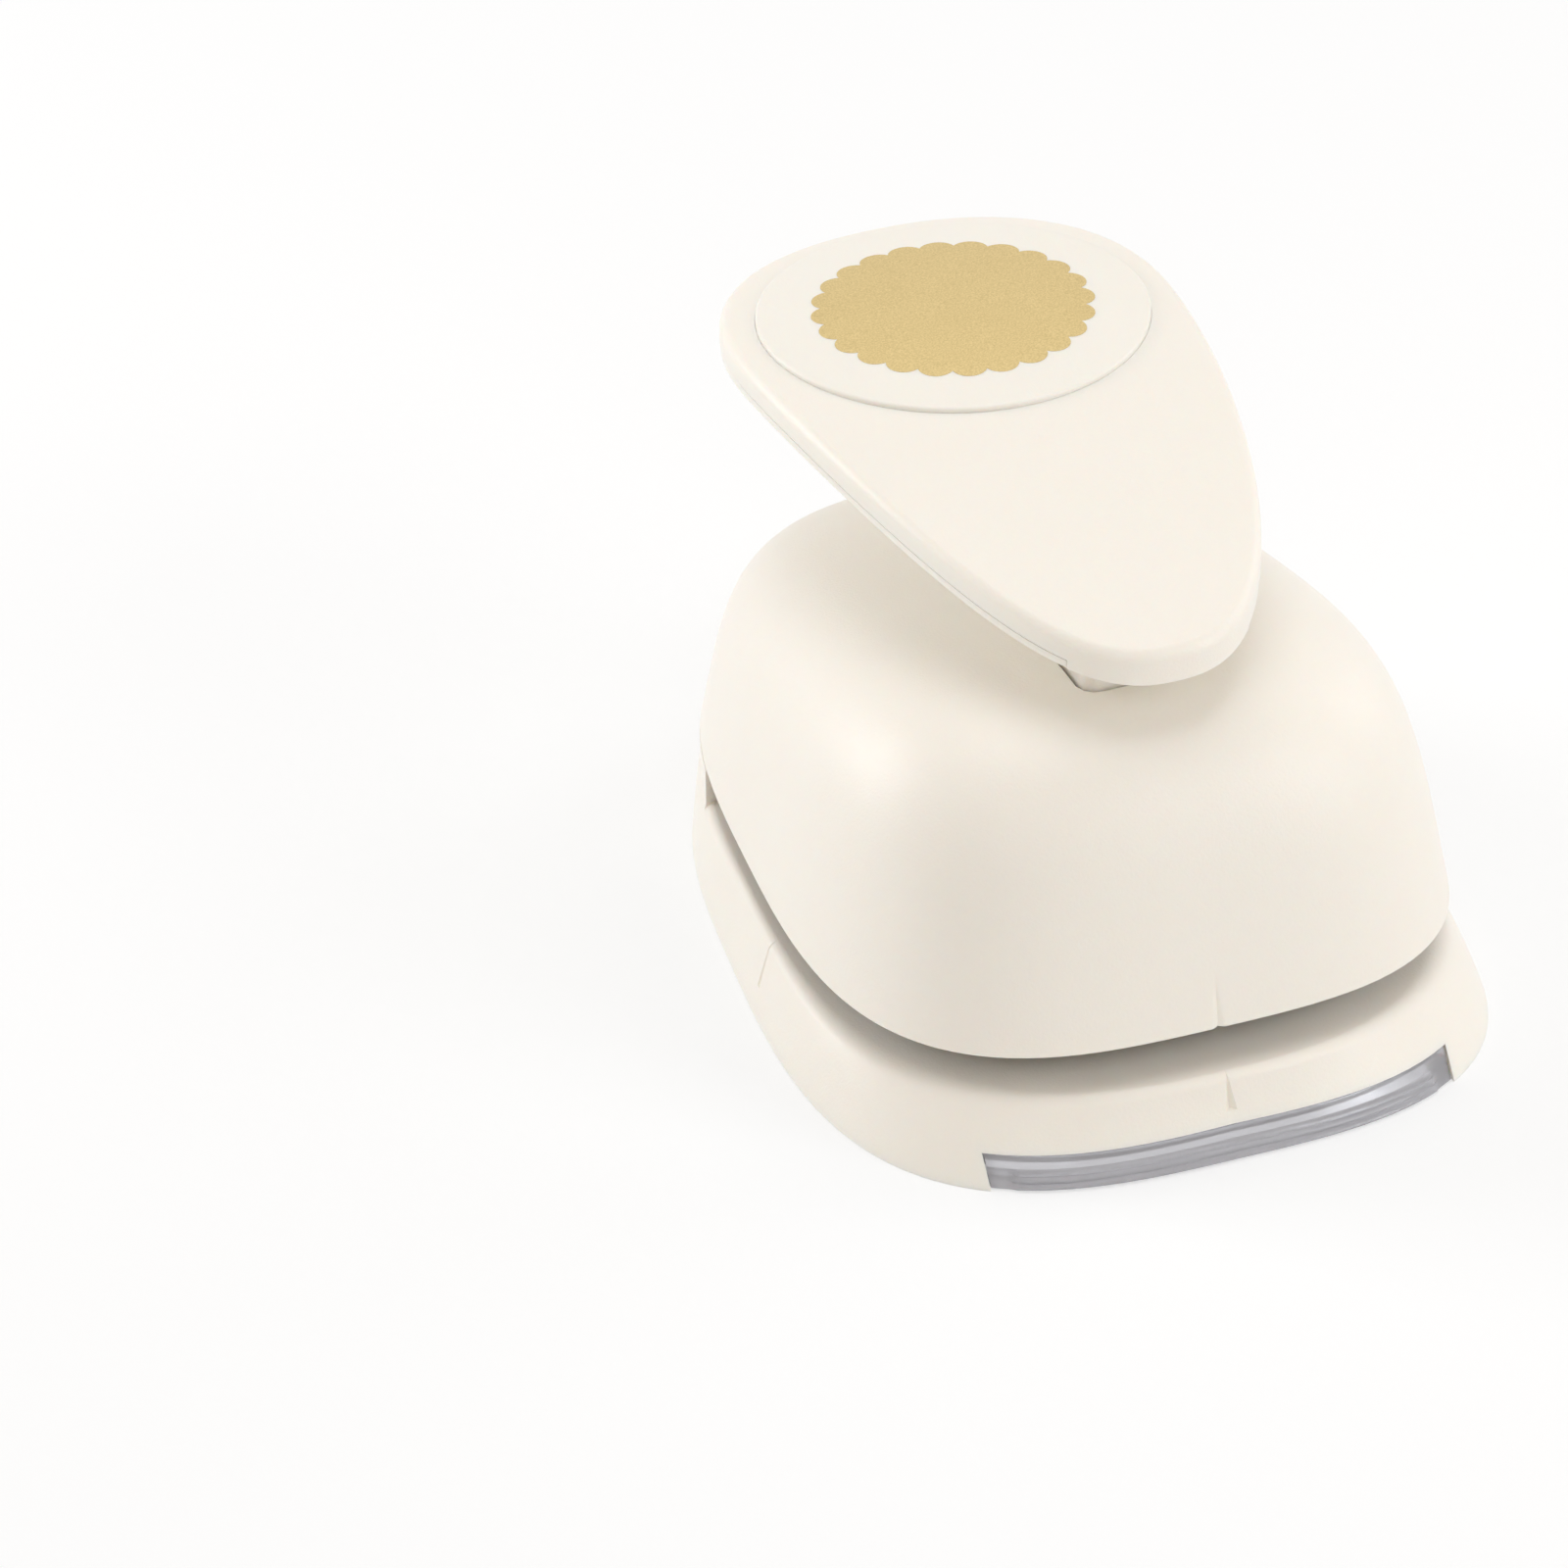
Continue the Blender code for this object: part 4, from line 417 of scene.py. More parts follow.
def egg_size(x, run, plan, inset):
    """Size of the plan's copy that passes through a point, run being measured from the plan's middle."""
    rear = plan.back - inset - plan.mid
    power, length = (plan.back_power, rear) if run > 0 else (plan.front_power, plan.mid - plan.front - inset)
    across = x / (1 - plan.taper * run / rear) / (plan.half_width - inset)
    return (abs(across) ** power + abs(run / length) ** power) ** (1 / power)


def egg_outline(plan, inset=0.0, steps=BODY_STEPS):
    """All points of an egg-shaped plan."""
    return [egg_point(angle, plan, inset) for angle in egg_directions(steps)]


def circle(x, y, radius, steps=ROUND_STEPS, start=0.0):
    """Points of a circle in plan."""
    return [(x + radius * cos(start + a), y + radius * sin(start + a)) for a in directions(steps)]


def arc(y, z, radius, start, end, steps=ARC_STEPS):
    """Points of an arc in the YZ plane, in degrees from +Y towards +Z."""
    return [(y + radius * cos(a), z + radius * sin(a)) for a in map(radians, spread(start, end, steps))]


def rounded_rectangle(half, front, back, corner=NECK_CORNER):
    """Rectangle in plan with round corners, half wide on both sides of the middle."""
    wide, high, low = half - corner, back - corner, front + corner
    points = []
    for quarter, (x, y) in enumerate(((wide, high), (-wide, high), (-wide, low), (wide, low))):
        for i in range(CORNER_STEPS + 1):
            angle = (quarter + i / CORNER_STEPS) * pi / 2
            points.append((x + corner * cos(angle), y + corner * sin(angle)))
    return points


def scallops(offset, radius=SHAPE_RADIUS, depth=SCALLOP_DEPTH):
    """Outline of round lobes that meet in sharp corners, let out by offset."""
    half_pitch = pi / SCALLOP_COUNT
    valley = radius - depth
    half_chord = valley * sin(half_pitch)
    rise = radius - valley * cos(half_pitch)
    lobe = (half_chord ** 2 + rise ** 2) / (2 * rise)
    centre = radius - lobe
    sweep = atan2(half_chord, valley * cos(half_pitch) - centre)
    points = []
    for middle in directions(SCALLOP_COUNT):
        for step in range(SCALLOP_STEPS):
            turn = blend(-sweep, sweep, step / SCALLOP_STEPS)
            x, y = centre + lobe * cos(turn), lobe * sin(turn)
            reach = hypot(x, y) + offset
            angle = middle + atan2(y, x)
            points.append((reach * cos(angle), reach * sin(angle)))
    return points


def new_object(name, shape):
    """Link a bmesh as an object with its faces pointing out."""
    bmesh.ops.recalc_face_normals(shape, faces=shape.faces)
    data = bpy.data.meshes.new(name)
    shape.to_mesh(data)
    shape.free()
    item = bpy.data.objects.new(name, data)
    bpy.context.scene.collection.objects.link(item)
    return item


def loft(name, rings, capped=True):
    """Solid through rings of equally many points; with no caps the last ring joins the first."""
    shape = bmesh.new()
    loops = [[shape.verts.new(point) for point in ring] for ring in rings]
    pairs = list(zip(loops, loops[1:])) + ([] if capped else [(loops[-1], loops[0])])
    for lower, upper in pairs:
        for i in range(len(lower)):
            j = (i + 1) % len(lower)
            shape.faces.new((lower[i], lower[j], upper[j], upper[i]))
    if capped:
        shape.faces.new(loops[0][::-1])
        shape.faces.new(loops[-1])
    return new_object(name, shape)


def prism(name, outline, low, high):
    """Upright solid over an outline in plan."""
    return loft(name, [[(x, y, z) for x, y in outline] for z in (low, high)])


def side_plate(name, outline, reach):
    """Solid over an outline in the YZ plane, which reaches as far to the left as to the right."""
    return loft(name, [[(x, y, z) for y, z in outline] for x in (-reach, reach)])


def box(half, front, back, low, high, x=0.0):
    """Plain rectangular tool, half wide on both sides of x."""
    return prism("box", [(x - half, front), (x + half, front), (x + half, back), (x - half, back)], low, high)


def turned(name, profile, x, y):
    """Solid turned about an upright axis from (radius, height) points that begin and end on it."""
    shape = bmesh.new()
    foot, head = [shape.verts.new((x, y, profile[end][1])) for end in (0, -1)]
    loops = [[shape.verts.new((*place, height)) for place in circle(x, y, radius)]
             for radius, height in profile[1:-1]]
    for i in range(ROUND_STEPS):
        j = (i + 1) % ROUND_STEPS
        shape.faces.new((foot, loops[0][j], loops[0][i]))
        shape.faces.new((head, loops[-1][i], loops[-1][j]))
        for lower, upper in zip(loops, loops[1:]):
            shape.faces.new((lower[i], lower[j], upper[j], upper[i]))
    return new_object(name, shape)


def wire(name, points, radius):
    """Wire along points that never run straight up, with closed ends."""
    rings = []
    last = len(points) - 1
    for i, point in enumerate(points):
        along = Vector(points[min(i + 1, last)]) - Vector(points[max(i - 1, 0)])
        side = along.cross(Vector((0, 0, 1))).normalized()
        up = side.cross(along).normalized()
        rings.append([Vector(point) + (side * cos(a) + up * sin(a)) * radius
                      for a in directions(WIRE_SIDES)])
    return loft(name, rings)


def gathered(tools):
    """One object from several that don't touch each other."""
    shape = bmesh.new()
    for tool in tools:
        shape.from_mesh(tool.data)
    shape.to_mesh(tools[0].data)
    shape.free()
    for tool in tools[1:]:
        bpy.data.objects.remove(tool)
    return tools[0]


def combine(target, tools, operation):
    """Join, cut or trim target with each tool, which is used up."""
    for tool in tools:
        boolean = target.modifiers.new(operation, "BOOLEAN")
        boolean.operation = operation
        boolean.solver = "EXACT"
        boolean.object = tool
        bpy.context.view_layer.update()
        graph = bpy.context.evaluated_depsgraph_get()
        result = bpy.data.meshes.new_from_object(target.evaluated_get(graph))
        target.modifiers.clear()
        former, target.data = target.data, result
        bpy.data.meshes.remove(former)
        bpy.data.objects.remove(tool)
    return target


def subtract(target, *tools):
    """Cut the tools out of target."""
    return combine(target, tools, "DIFFERENCE")


def unite(target, *tools):
    """Join the tools to target."""
    return combine(target, tools, "UNION")


def drill(x, y, radius, low, high, steps=ROUND_STEPS):
    """Upright round tool."""
    return prism("drill", circle(x, y, radius, steps, pi / steps), low, high)


def drills(places, radius, low, high):
    """Upright round tools at places in plan, gathered in one."""
    return gathered([drill(x, y, radius, low, high) for x, y in places])


# Dome

def dome_section(climb):
    """Rise and scale of the dome's ring part of the way up, from 0 at the rim to 1 at the crown."""
    angle = climb * pi / 2
    across, up = cos(angle), sin(angle)
    reach = (across ** DOME_POWER + up ** DOME_POWER) ** (-1 / DOME_POWER)
    rise = up * reach
    return rise, across * reach * (1 - DOME_DRAFT_SHARE * rise)


def dome_level(rise, run, inset):
    """Height of a dome point that lies run behind the ring's middle."""
    return blend(RIM_HEIGHT, DOME_HEIGHT - inset, rise) + DOME_SLOPE_SHARE * rise * run


def dome_directions():
    """Directions round the dome, with more of them beside the mark at the front."""
    front = pi * 3 / 2
    length = DOME_PLAN.mid - DOME_PLAN.front
    near = [DOME_MARK.half_width * share for share in (0.12, 0.25, 0.5, 0.75, 1, 1.3, 2)]
    extra = [front + side * reach / length for reach in near for side in (-1, 1)]
    clear = DOME_MARK.half_width * MARK_CLEAR / length
    return sorted(extra + [a for a in egg_directions() if not clear / 100 <= abs(a - front) <= clear])


def dome_ring(climb, inset, angles):
    """Ring of the dome's outer wall, or of its inner wall where it is drawn in by the wall."""
    rise, scale = dome_section(climb)
    ring = []
    for angle in angles:
        x, y = egg_point(angle, DOME_PLAN, inset)
        run = DOME_SHIFT * rise + (y - DOME_PLAN.mid) * scale
        ring.append((x * scale, DOME_PLAN.mid + run, dome_level(rise, run, inset)))
    return ring


def dome_top(x, y, inset):
    """Height of the dome's crown over a point in plan."""
    def outside(climb):
        rise, scale = dome_section(climb)
        run = y - DOME_PLAN.mid - DOME_SHIFT * rise
        return egg_size(x / scale, run / scale, DOME_PLAN, inset) > 1
    climb = halving(1.0, 0.0, DOME_HALVINGS, outside)
    return dome_level(dome_section(climb)[0], y - DOME_PLAN.mid, inset)


def marked(point):
    """Front point of the dome, pushed in where the alignment mark is."""
    x, y, z = point
    share = (z - RIM_HEIGHT) / DOME_MARK.height
    if y > 0 or share > 1:
        return point
    width = blend(DOME_MARK.half_width, DOME_MARK.half_width * DOME_MARK.top_share, share)
    return (x, y + DOME_MARK.depth / DOME_MARK.half_width * max(0.0, width - abs(x)), z)


def window_point(toward, offset):
    """Point of the window's outline, let out by offset, on the line from its middle to a point."""
    middle = (WINDOW_FRONT + WINDOW_BACK) / 2
    wide, long = WINDOW_HALF_WIDTH + offset, (WINDOW_BACK - WINDOW_FRONT) / 2 + offset
    corner = WINDOW_CORNER + offset
    way = Vector((toward[0], toward[1] - middle)).normalized()
    across, along = abs(way.x), abs(way.y)
    centre = Vector((wide - corner, long - corner))
    if across > 0 and along * wide / across <= centre.y:
        reach = wide / across
    elif along > 0 and across * long / along <= centre.x:
        reach = long / along
    else:
        ahead = across * centre.x + along * centre.y
        reach = ahead + sqrt(ahead ** 2 - centre.length_squared + corner ** 2)
    return way.x * reach, middle + way.y * reach


def dome_side(inset, rings, angles):
    """Rings of the dome's wall from its rim up to where the crown's own rings start."""
    start = 0.0
    while dome_section(start)[1] > CAP_START_SHARE:
        start += DOME_CLIMB_STEP
    return [dome_ring(start * i / rings, inset, angles) for i in range(rings + 1)]


def dome_cap(edge, inset, offset, rings):
    """Rings from the end of the dome's wall in to the window's outline, let out by offset."""
    ends = [window_point(point, offset) for point in edge]
    made = []
    for i in range(1, rings + 1):
        share = 1 - (1 - i / rings) ** CAP_SPREAD_POWER
        ring = [(blend(point[0], x, share), blend(point[1], y, share)) for point, (x, y) in zip(edge, ends)]
        made.append([(x, y, dome_top(x, y, inset)) for x, y in ring])
    return made


def dome_moulding():
    """Cover with a rounded rim, the lever's window, the screw bosses inside and the mark in front."""
    angles = dome_directions()
    crown = DOME_HEIGHT - RIM_HEIGHT
    rings = []
    for up, inset in rounding(RIM_ROUND, (0, 22.5, 45, 67.5, 90)):
        climb = atan(up / crown) * 2 / pi
        rings.append([(x, y, RIM_HEIGHT + up) for x, y, z in dome_ring(climb, inset, angles)])
    low = RIM_HEIGHT + RIM_ROUND * 2
    rings += [ring for ring in dome_side(0.0, DOME_RINGS, angles)[1:] if ring[0][2] > low]
    rings = [[marked(point) for point in ring] for ring in rings]
    edge = rings[-1]
    rings += dome_cap(edge, 0.0, WINDOW_ROUND, CAP_RINGS)
    for drop, offset in rounding(WINDOW_ROUND, (22.5, 45, 67.5, 90)):
        ring = [window_point(point, offset) for point in edge]
        rings.append([(x, y, dome_top(x, y, 0.0) - drop) for x, y in ring])
    inner = dome_side(DOME_WALL, DOME_RINGS // 2, angles)
    inner += dome_cap(inner[-1], DOME_WALL, 0.0, CAP_RINGS // 2)
    inner[0] = [(x, y, RIM_HEIGHT) for x, y, z in inner[0]]
    shell = loft("dome_moulding", rings + inner[::-1], capped=False)
    places = both_sides(REAR_SCREW, FRONT_SCREW)
    unite(shell, gathered([dome_boss(*place) for place in places]))
    return subtract(shell, drills(places, SCREW_HOLE, GUIDE_SEAT - OVERRUN, GUIDE_SEAT + PILOT_DEPTH))


def dome_boss(x, y):
    """Screw boss inside the dome; the front ones have a rib to the front wall."""
    high = DOME_HEIGHT * 2
    boss = prism("boss", circle(x, y, DOME_BOSS_RADIUS), GUIDE_SEAT, high)
    if y < 0:
        low = RIM_HEIGHT + DOME_WALL
        unite(boss, box(DOME_RIB_THICKNESS / 2, DOME_PLAN.front, y, low, high - OVERRUN, x))
    angles = directions(BODY_STEPS // 2)
    inset = DOME_WALL / 2
    core = loft("core", [dome_ring(i / (CORE_RINGS - 0.5), inset, angles) for i in range(CORE_RINGS)])
    low = [(*egg_point(angle, DOME_PLAN, inset), GUIDE_SEAT - OVERRUN) for angle in angles]
    unite(core, loft("skirt", [low, dome_ring(CORE_OVERLAP, inset, angles)]))
    return combine(boss, [core], "INTERSECT")


# Base

def base_point(angle, height, inset=0.0):
    """Point of the base's outer wall, whose skirt flares out below the deck, fuller at the corners."""
    power = blend(FLARE_POWER, FLARE_CORNER_POWER, abs(sin(2 * angle)))
    share = max(0.0, (DECK_HEIGHT - height) / DECK_HEIGHT) ** power
    top, bottom = egg_point(angle, DECK_PLAN, inset), egg_point(angle, SKIRT_PLAN, inset)
    return blend(top[0], bottom[0], share), blend(top[1], bottom[1], share), height


def base_angle(height, reach, place, low, high):
    """Angle between low and high at which the wall's place across (0) or along (1) comes to reach."""
    return halving(low, high, BASE_HALVINGS, lambda angle: base_point(angle, height)[place] < reach)


def shoulder_angle(height, reach):
    """Angle at which the right wall comes to reach along the base."""
    return base_angle(height, reach, 1, -pi / 2, pi / 2)


def mirrored(angle, x, y, z):
    """A point of the right wall and its image on the left, each after its direction."""
    return [(angle % tau, (x, y, z)), ((pi - angle) % tau, (-x, y, z))]


def mark_size(height, share, mark):
    """Half width of a mark at one height, and its depth at a share of that width from its middle."""
    climb = (height - DECK_HEIGHT + mark.height) / mark.height
    width = mark.half_width * blend(1, mark.top_share, min(1.0, max(0.0, climb)))
    depth = max(0.0, 1 - abs(share)) * width * mark.depth / mark.half_width
    return width, depth if climb >= 0 else 0.0


def base_mark_points(height, inset, shares=(-1.3, -1, -0.6, -0.2, 0, 0.2, 0.6, 1, 1.3)):
    """Wall points across the marks, each after its direction: a wedge in front, a groove on both sides."""
    made = []
    for share in shares:
        width, depth = mark_size(height, share, BASE_MARK)
        front = base_angle(height, share * width, 0, -pi * 3 / 4, -pi / 4)
        x, y, z = base_point(front, height)
        made.append((front % tau, (x, y + inset + depth, z)))
        width, depth = mark_size(height, share, SIDE_MARK)
        side = base_angle(height, share * width, 1, -pi / 2, 0)
        x, y, z = base_point(side, height)
        made += mirrored(side, x - inset - depth, y, z)
    return made


def base_wall_ring(height, inset=0.0, deck_inset=0.0):
    """Ring of the base's outer wall with its marks; deck_inset draws in all but the raised rear."""
    ring = base_mark_points(height, inset + deck_inset)
    step = FIT_GAP / 6
    for reach, drawn in ((SHOULDER_FRONT - step, deck_inset), (SHOULDER_FRONT + step, 0.0)):
        angle = shoulder_angle(height, reach)
        ring += mirrored(angle, base_point(angle, height, inset + drawn)[0], reach, height)
    rear = shoulder_angle(DECK_HEIGHT / 2, SHOULDER_FRONT)
    middles = [rear, pi - rear] + [angle for angle, _ in base_mark_points(DECK_HEIGHT / 2, 0.0, (0,))]
    clear = BASE_MARK.half_width * MARK_CLEAR / DECK_PLAN.half_width
    for angle in egg_directions():
        if all(abs(angle - middle) > clear for middle in middles):
            drawn = 0.0 if rear < angle < pi - rear else deck_inset
            ring.append((angle, base_point(angle, height, inset + drawn)))
    return [point for angle, point in sorted(ring)]


def base_moulding():
    """Skirt, deck, raised rear, rails for the tray and bosses for the screws, moulded in one piece."""
    rings = [base_wall_ring(height, inset) for height, inset in rounding(BASE_FOOT_ROUND, (0, 30, 60))]
    edge_low = DECK_HEIGHT - DECK_EDGE_RADIUS
    levels = [BASE_FOOT_ROUND, DECK_HEIGHT - SIDE_MARK.height, DECK_HEIGHT - BASE_MARK.height, edge_low]
    for low, high in zip(levels, levels[1:]):
        rings += [base_wall_ring(blend(low, high, i / BASE_LEVEL_RINGS)) for i in range(BASE_LEVEL_RINGS)]
        rings.append(base_wall_ring(high - FIT_GAP / 10))
    for angle in map(radians, range(0, 100, 10)):
        rings.append(base_wall_ring(edge_low + DECK_EDGE_RADIUS * sin(angle), 0.0,
                                    DECK_EDGE_RADIUS * (1 - cos(angle))))
    top = RIM_HEIGHT - FIT_GAP
    rings.append(base_wall_ring(top, 0.0, DECK_EDGE_RADIUS))
    shell = loft("base_moulding", rings)
    reach = SKIRT_PLAN.half_width * 2
    over = top + OVERRUN
    angles = egg_directions(BODY_STEPS // 2)
    hollow = [[base_point(angle, height, BASE_WALL) for angle in angles]
              for height in (-OVERRUN, 0, HOLLOW_TOP / 2, HOLLOW_TOP)]
    well = prism("well", egg_outline(DECK_PLAN, BASE_WALL), DECK_HEIGHT, over)
    behind = box(reach, SHOULDER_FRONT + SHOULDER_END_WALL, SKIRT_PLAN.back * 2, HOLLOW_TOP, over + OVERRUN)
    subtract(shell,
             box(reach, SKIRT_PLAN.front * 2, SHOULDER_FRONT, DECK_HEIGHT, over),
             loft("hollow", hollow),
             combine(well, [behind], "INTERSECT"),
             prism("pocket", egg_outline(DIE_PLAN, -FIT_GAP, PLATE_STEPS), POCKET_HEIGHT, over + OVERRUN * 2),
             drill(0, 0, CHIP_HOLE_RADIUS, HOLLOW_TOP - OVERRUN / 2, POCKET_HEIGHT + OVERRUN, BODY_STEPS),
             box(NOTCH_HALF_WIDTH, SKIRT_PLAN.front - OVERRUN, SKIRT_PLAN.front + NOTCH_DEPTH, -OVERRUN,
                 NOTCH_HEIGHT))
    places = both_sides(REAR_SCREW)
    unite(shell, *tray_rails(), drills(places, BASE_BOSS_RADIUS, BASE_BOSS_LOW, HOLLOW_TOP + DECK_FLOOR / 2))
    return subtract(shell, drills(places, SCREW_HOLE, -OVERRUN, POCKET_HEIGHT + OVERRUN),
                    drills(places, HEAD_HOLE, -OVERRUN, REAR_SCREW_SEAT))


def tray_rails():
    """Two L-shaped rails and the stop behind the tray, reaching up into the underside of the deck."""
    outer = RAIL_INNER + RAIL_THICKNESS
    tip = RAIL_INNER - RAIL_LIP_REACH
    high = HOLLOW_TOP + DECK_FLOOR / 2
    lip_top = RAIL_LIP_LOW + RAIL_LIP_THICKNESS
    stop_front = TRAY_BACK + FIT_GAP
    stop_back = stop_front + RAIL_THICKNESS
    section = [(RAIL_INNER, high), (outer, high), (outer, RAIL_LIP_LOW), (tip, RAIL_LIP_LOW), (tip, lip_top),
               (RAIL_INNER, lip_top)]
    rails = [loft("rail", [[(side * x, y, z) for x, z in section] for y in (RAIL_FRONT, stop_back)])
             for side in (-1, 1)]
    stop = box(outer - FIT_GAP, stop_front, stop_back + FIT_GAP, lip_top / 2, high - FIT_GAP)
    return rails + [stop]


# Chip tray

def tray_angles():
    """Directions across the front of the tray, from its left side to its right."""
    return [angle - pi / 2 for angle in spread(-TRAY_LIP_SWEEP, TRAY_LIP_SWEEP, TRAY_STEPS)]


def tray_lip():
    """Grip strip in front of the tray: a plain band, below it ridges that stop short of the ends."""
    band_low = blend(TRAY_LIP_LOW, TRAY_TOP, TRAY_RIDGES_SHARE)
    ridges = []
    for i in range(TRAY_RIDGE_COUNT):
        for share in [j / TRAY_RIDGE_STEPS for j in range(TRAY_RIDGE_STEPS)]:
            ridges.append((blend(TRAY_LIP_LOW, band_low, (i + share) / TRAY_RIDGE_COUNT),
                           TRAY_RIDGE_DEPTH * (1 - sin(pi * share) ** TRAY_RIDGE_POWER)))
    rings = []
    for angle in tray_angles():
        plain = abs(base_point(angle, TRAY_LIP_LOW)[0]) > NOTCH_HALF_WIDTH - TRAY_END_LENGTH
        ring = [base_point(angle, height, TRAY_END_DEPTH if plain else depth) for height, depth in ridges]
        ring += [base_point(angle, height, TRAY_RIDGE_DEPTH) for height in (band_low, TRAY_TOP)]
        x, y, z = base_point(angle, TRAY_TOP, TRAY_LIP_DEPTH)
        rings.append(ring + [(x, y, z), (x, y, TRAY_LIP_LOW)])
    trim = box(NOTCH_HALF_WIDTH - FIT_GAP, SKIRT_PLAN.front - OVERRUN, 0, -OVERRUN, NOTCH_HEIGHT + OVERRUN)
    return combine(loft("lip", rings), [trim], "INTERSECT")


def tray_outline(inset):
    """Plan of the tray: a curved front, straight sides and a straight back."""
    half, back = TRAY_HALF_WIDTH - inset, TRAY_BACK - inset
    front = [egg_point(angle, SKIRT_PLAN, TRAY_FACE_INSET + inset) for angle in tray_angles()]
    inside = [point for point in front if abs(point[0]) < half]
    corner = egg_point(-pi / 2 + TRAY_LIP_SWEEP / 2, SKIRT_PLAN, TRAY_FACE_INSET + inset)[1]
    corner = max(corner, inside[0][1])
    return [(-half, corner)] + inside + [(half, corner), (half, back), (-half, back)]


def clear_tray():
    """Clear tray that catches what is punched out, open at the top, with its grip strip in front."""
    tray = prism("clear_tray", tray_outline(0.0), TRAY_LOW, TRAY_TOP)
    unite(tray, tray_lip())
    return subtract(tray, prism("well", tray_outline(TRAY_WALL), TRAY_LOW + TRAY_FLOOR, TRAY_TOP + OVERRUN))


# Plates, punch, springs and screws

def ground_plate(name, plan, low, high, screws, posts=(), sinks=()):
    """Steel plate with the scalloped hole that the punch passes, and its holes for screws and posts."""
    below, above = low - OVERRUN, high + OVERRUN
    profile = [(0, below), (HEAD_HOLE, below), (HEAD_HOLE, low), (SCREW_HOLE, low + HEAD_HOLE / 2),
               (SCREW_HOLE, above), (0, above)]
    tools = [prism("hole", scallops(CUT_GAP), below, above)]
    tools += [drill(x, y, SCREW_HOLE, below, above) for x, y in screws]
    tools += [drill(x, y, POST_RADIUS + FIT_GAP, below, above) for x, y in posts]
    tools += [turned("sink", profile, x, y) for x, y in sinks]
    return subtract(prism(name, egg_outline(plan, 0.0, PLATE_STEPS), low, high), gathered(tools))


def ground_punch():
    """Scalloped steel punch with an arched cutting face, so that it shears in from both sides."""
    outline = scallops(0.0)
    shape = bmesh.new()
    loops = []
    for share in [(i + 1) / PUNCH_RINGS for i in range(PUNCH_RINGS)]:
        loops.append([])
        for x, y in outline:
            arch = PUNCH_SHEAR * (1 - (x * share / SHAPE_RADIUS) ** 2)
            loops[-1].append(shape.verts.new((x * share, y * share, PUNCH_LOW + arch)))
    loops.append([shape.verts.new((x, y, PUNCH_TOP)) for x, y in outline])
    middle = shape.verts.new((0, 0, PUNCH_LOW + PUNCH_SHEAR))
    count = len(outline)
    for i in range(count):
        j = (i + 1) % count
        shape.faces.new((middle, loops[0][i], loops[0][j]))
        for lower, upper in zip(loops, loops[1:]):
            shape.faces.new((lower[i], lower[j], upper[j], upper[i]))
    shape.faces.new(loops[-1])
    high = PUNCH_TOP + OVERRUN
    pocket = drill(0, 0, PUNCH_POCKET_RADIUS, PUNCH_LOW + PUNCH_POCKET_FLOOR, high, PUNCH_POCKET_STEPS)
    holes = drills(circle(0, 0, CARRIER_SCREW_PLACE, 4), CARRIER_SCREW_RADIUS + FIT_GAP,
                   PUNCH_TOP - CARRIER_SCREW_REACH - FIT_GAP, high)
    return subtract(new_object("ground_punch", shape), gathered([pocket, holes]))


def coiled_spring(number, place):
    """Compression spring round a guide post, with its end turns closed up."""
    low, high = SPRING_LOW + SPRING_WIRE_RADIUS, SPRING_TOP - SPRING_WIRE_RADIUS
    middle_pitch = (high - low - 2 * SPRING_END_PITCH) / (SPRING_TURNS - 2)
    points = []
    for i in range(SPRING_TURNS * SPRING_TURN_POINTS + 1):
        turns = i / SPRING_TURN_POINTS
        rise = min(turns, 1) * SPRING_END_PITCH + max(0, turns - SPRING_TURNS + 1) * SPRING_END_PITCH
        rise += min(max(turns - 1, 0), SPRING_TURNS - 2) * middle_pitch
        angle = tau * turns
        points.append((place[0] + SPRING_COIL_RADIUS * cos(angle),
                       place[1] + SPRING_COIL_RADIUS * sin(angle), low + rise))
    return wire("coiled_spring_%d" % number, points, SPRING_WIRE_RADIUS)


def cross_screw(name, place, seat, tip, head_height):
    """Pan-head screw with a cross recess, whose shank points up from the seat."""
    x, y = place
    crown = seat - head_height
    profile = [(0, crown)]
    for turn in HEAD_TURNS:
        across = SCREW_HEAD_RADIUS * sin(radians(90 - turn / HEAD_TURN_RATIO))
        rise = head_height * HEAD_CROWN_SHARE * (1 - sin(radians(turn + HEAD_TURN_START)))
        profile.append((across, crown + rise))
    profile += [(SCREW_HEAD_RADIUS, seat - head_height * HEAD_RIM_SHARE), (SCREW_HEAD_RADIUS, seat),
                (SCREW_RADIUS, seat), (SCREW_RADIUS, tip - SCREW_RADIUS), (SCREW_TIP_RADIUS, tip), (0, tip)]
    floor = crown + head_height * RECESS_SHARE
    arms = [box(wide, y - deep, y + deep, crown - head_height, floor, x)
            for wide, deep in (RECESS_ARM, RECESS_ARM[::-1])]
    return subtract(turned("cross_screw_" + name, profile, x, y), *arms)


# Lever

def lever_outline(inset=0.0):
    """Plan of the lever: a broad round rear that narrows to a blunt tip."""
    points = []
    for angle in directions(LEVER_STEPS):
        cosine, sine = cos(angle), sin(angle)
        if sine > 0:
            x = signed_power(cosine, 2 / LEVER_BACK_POWER)
            y = signed_power(sine, 2 / LEVER_BACK_POWER) * (LEVER_BACK - inset - LEVER_MID)
        else:
            x = signed_power(cosine, 2 * LEVER_FRONT_ROUND_SHARE)
            y = signed_power(sine, 2 / LEVER_FRONT_POWER) * (LEVER_MID - LEVER_FRONT - inset)
        points.append(((LEVER_HALF_WIDTH - inset) * x, LEVER_MID + y))
    return points


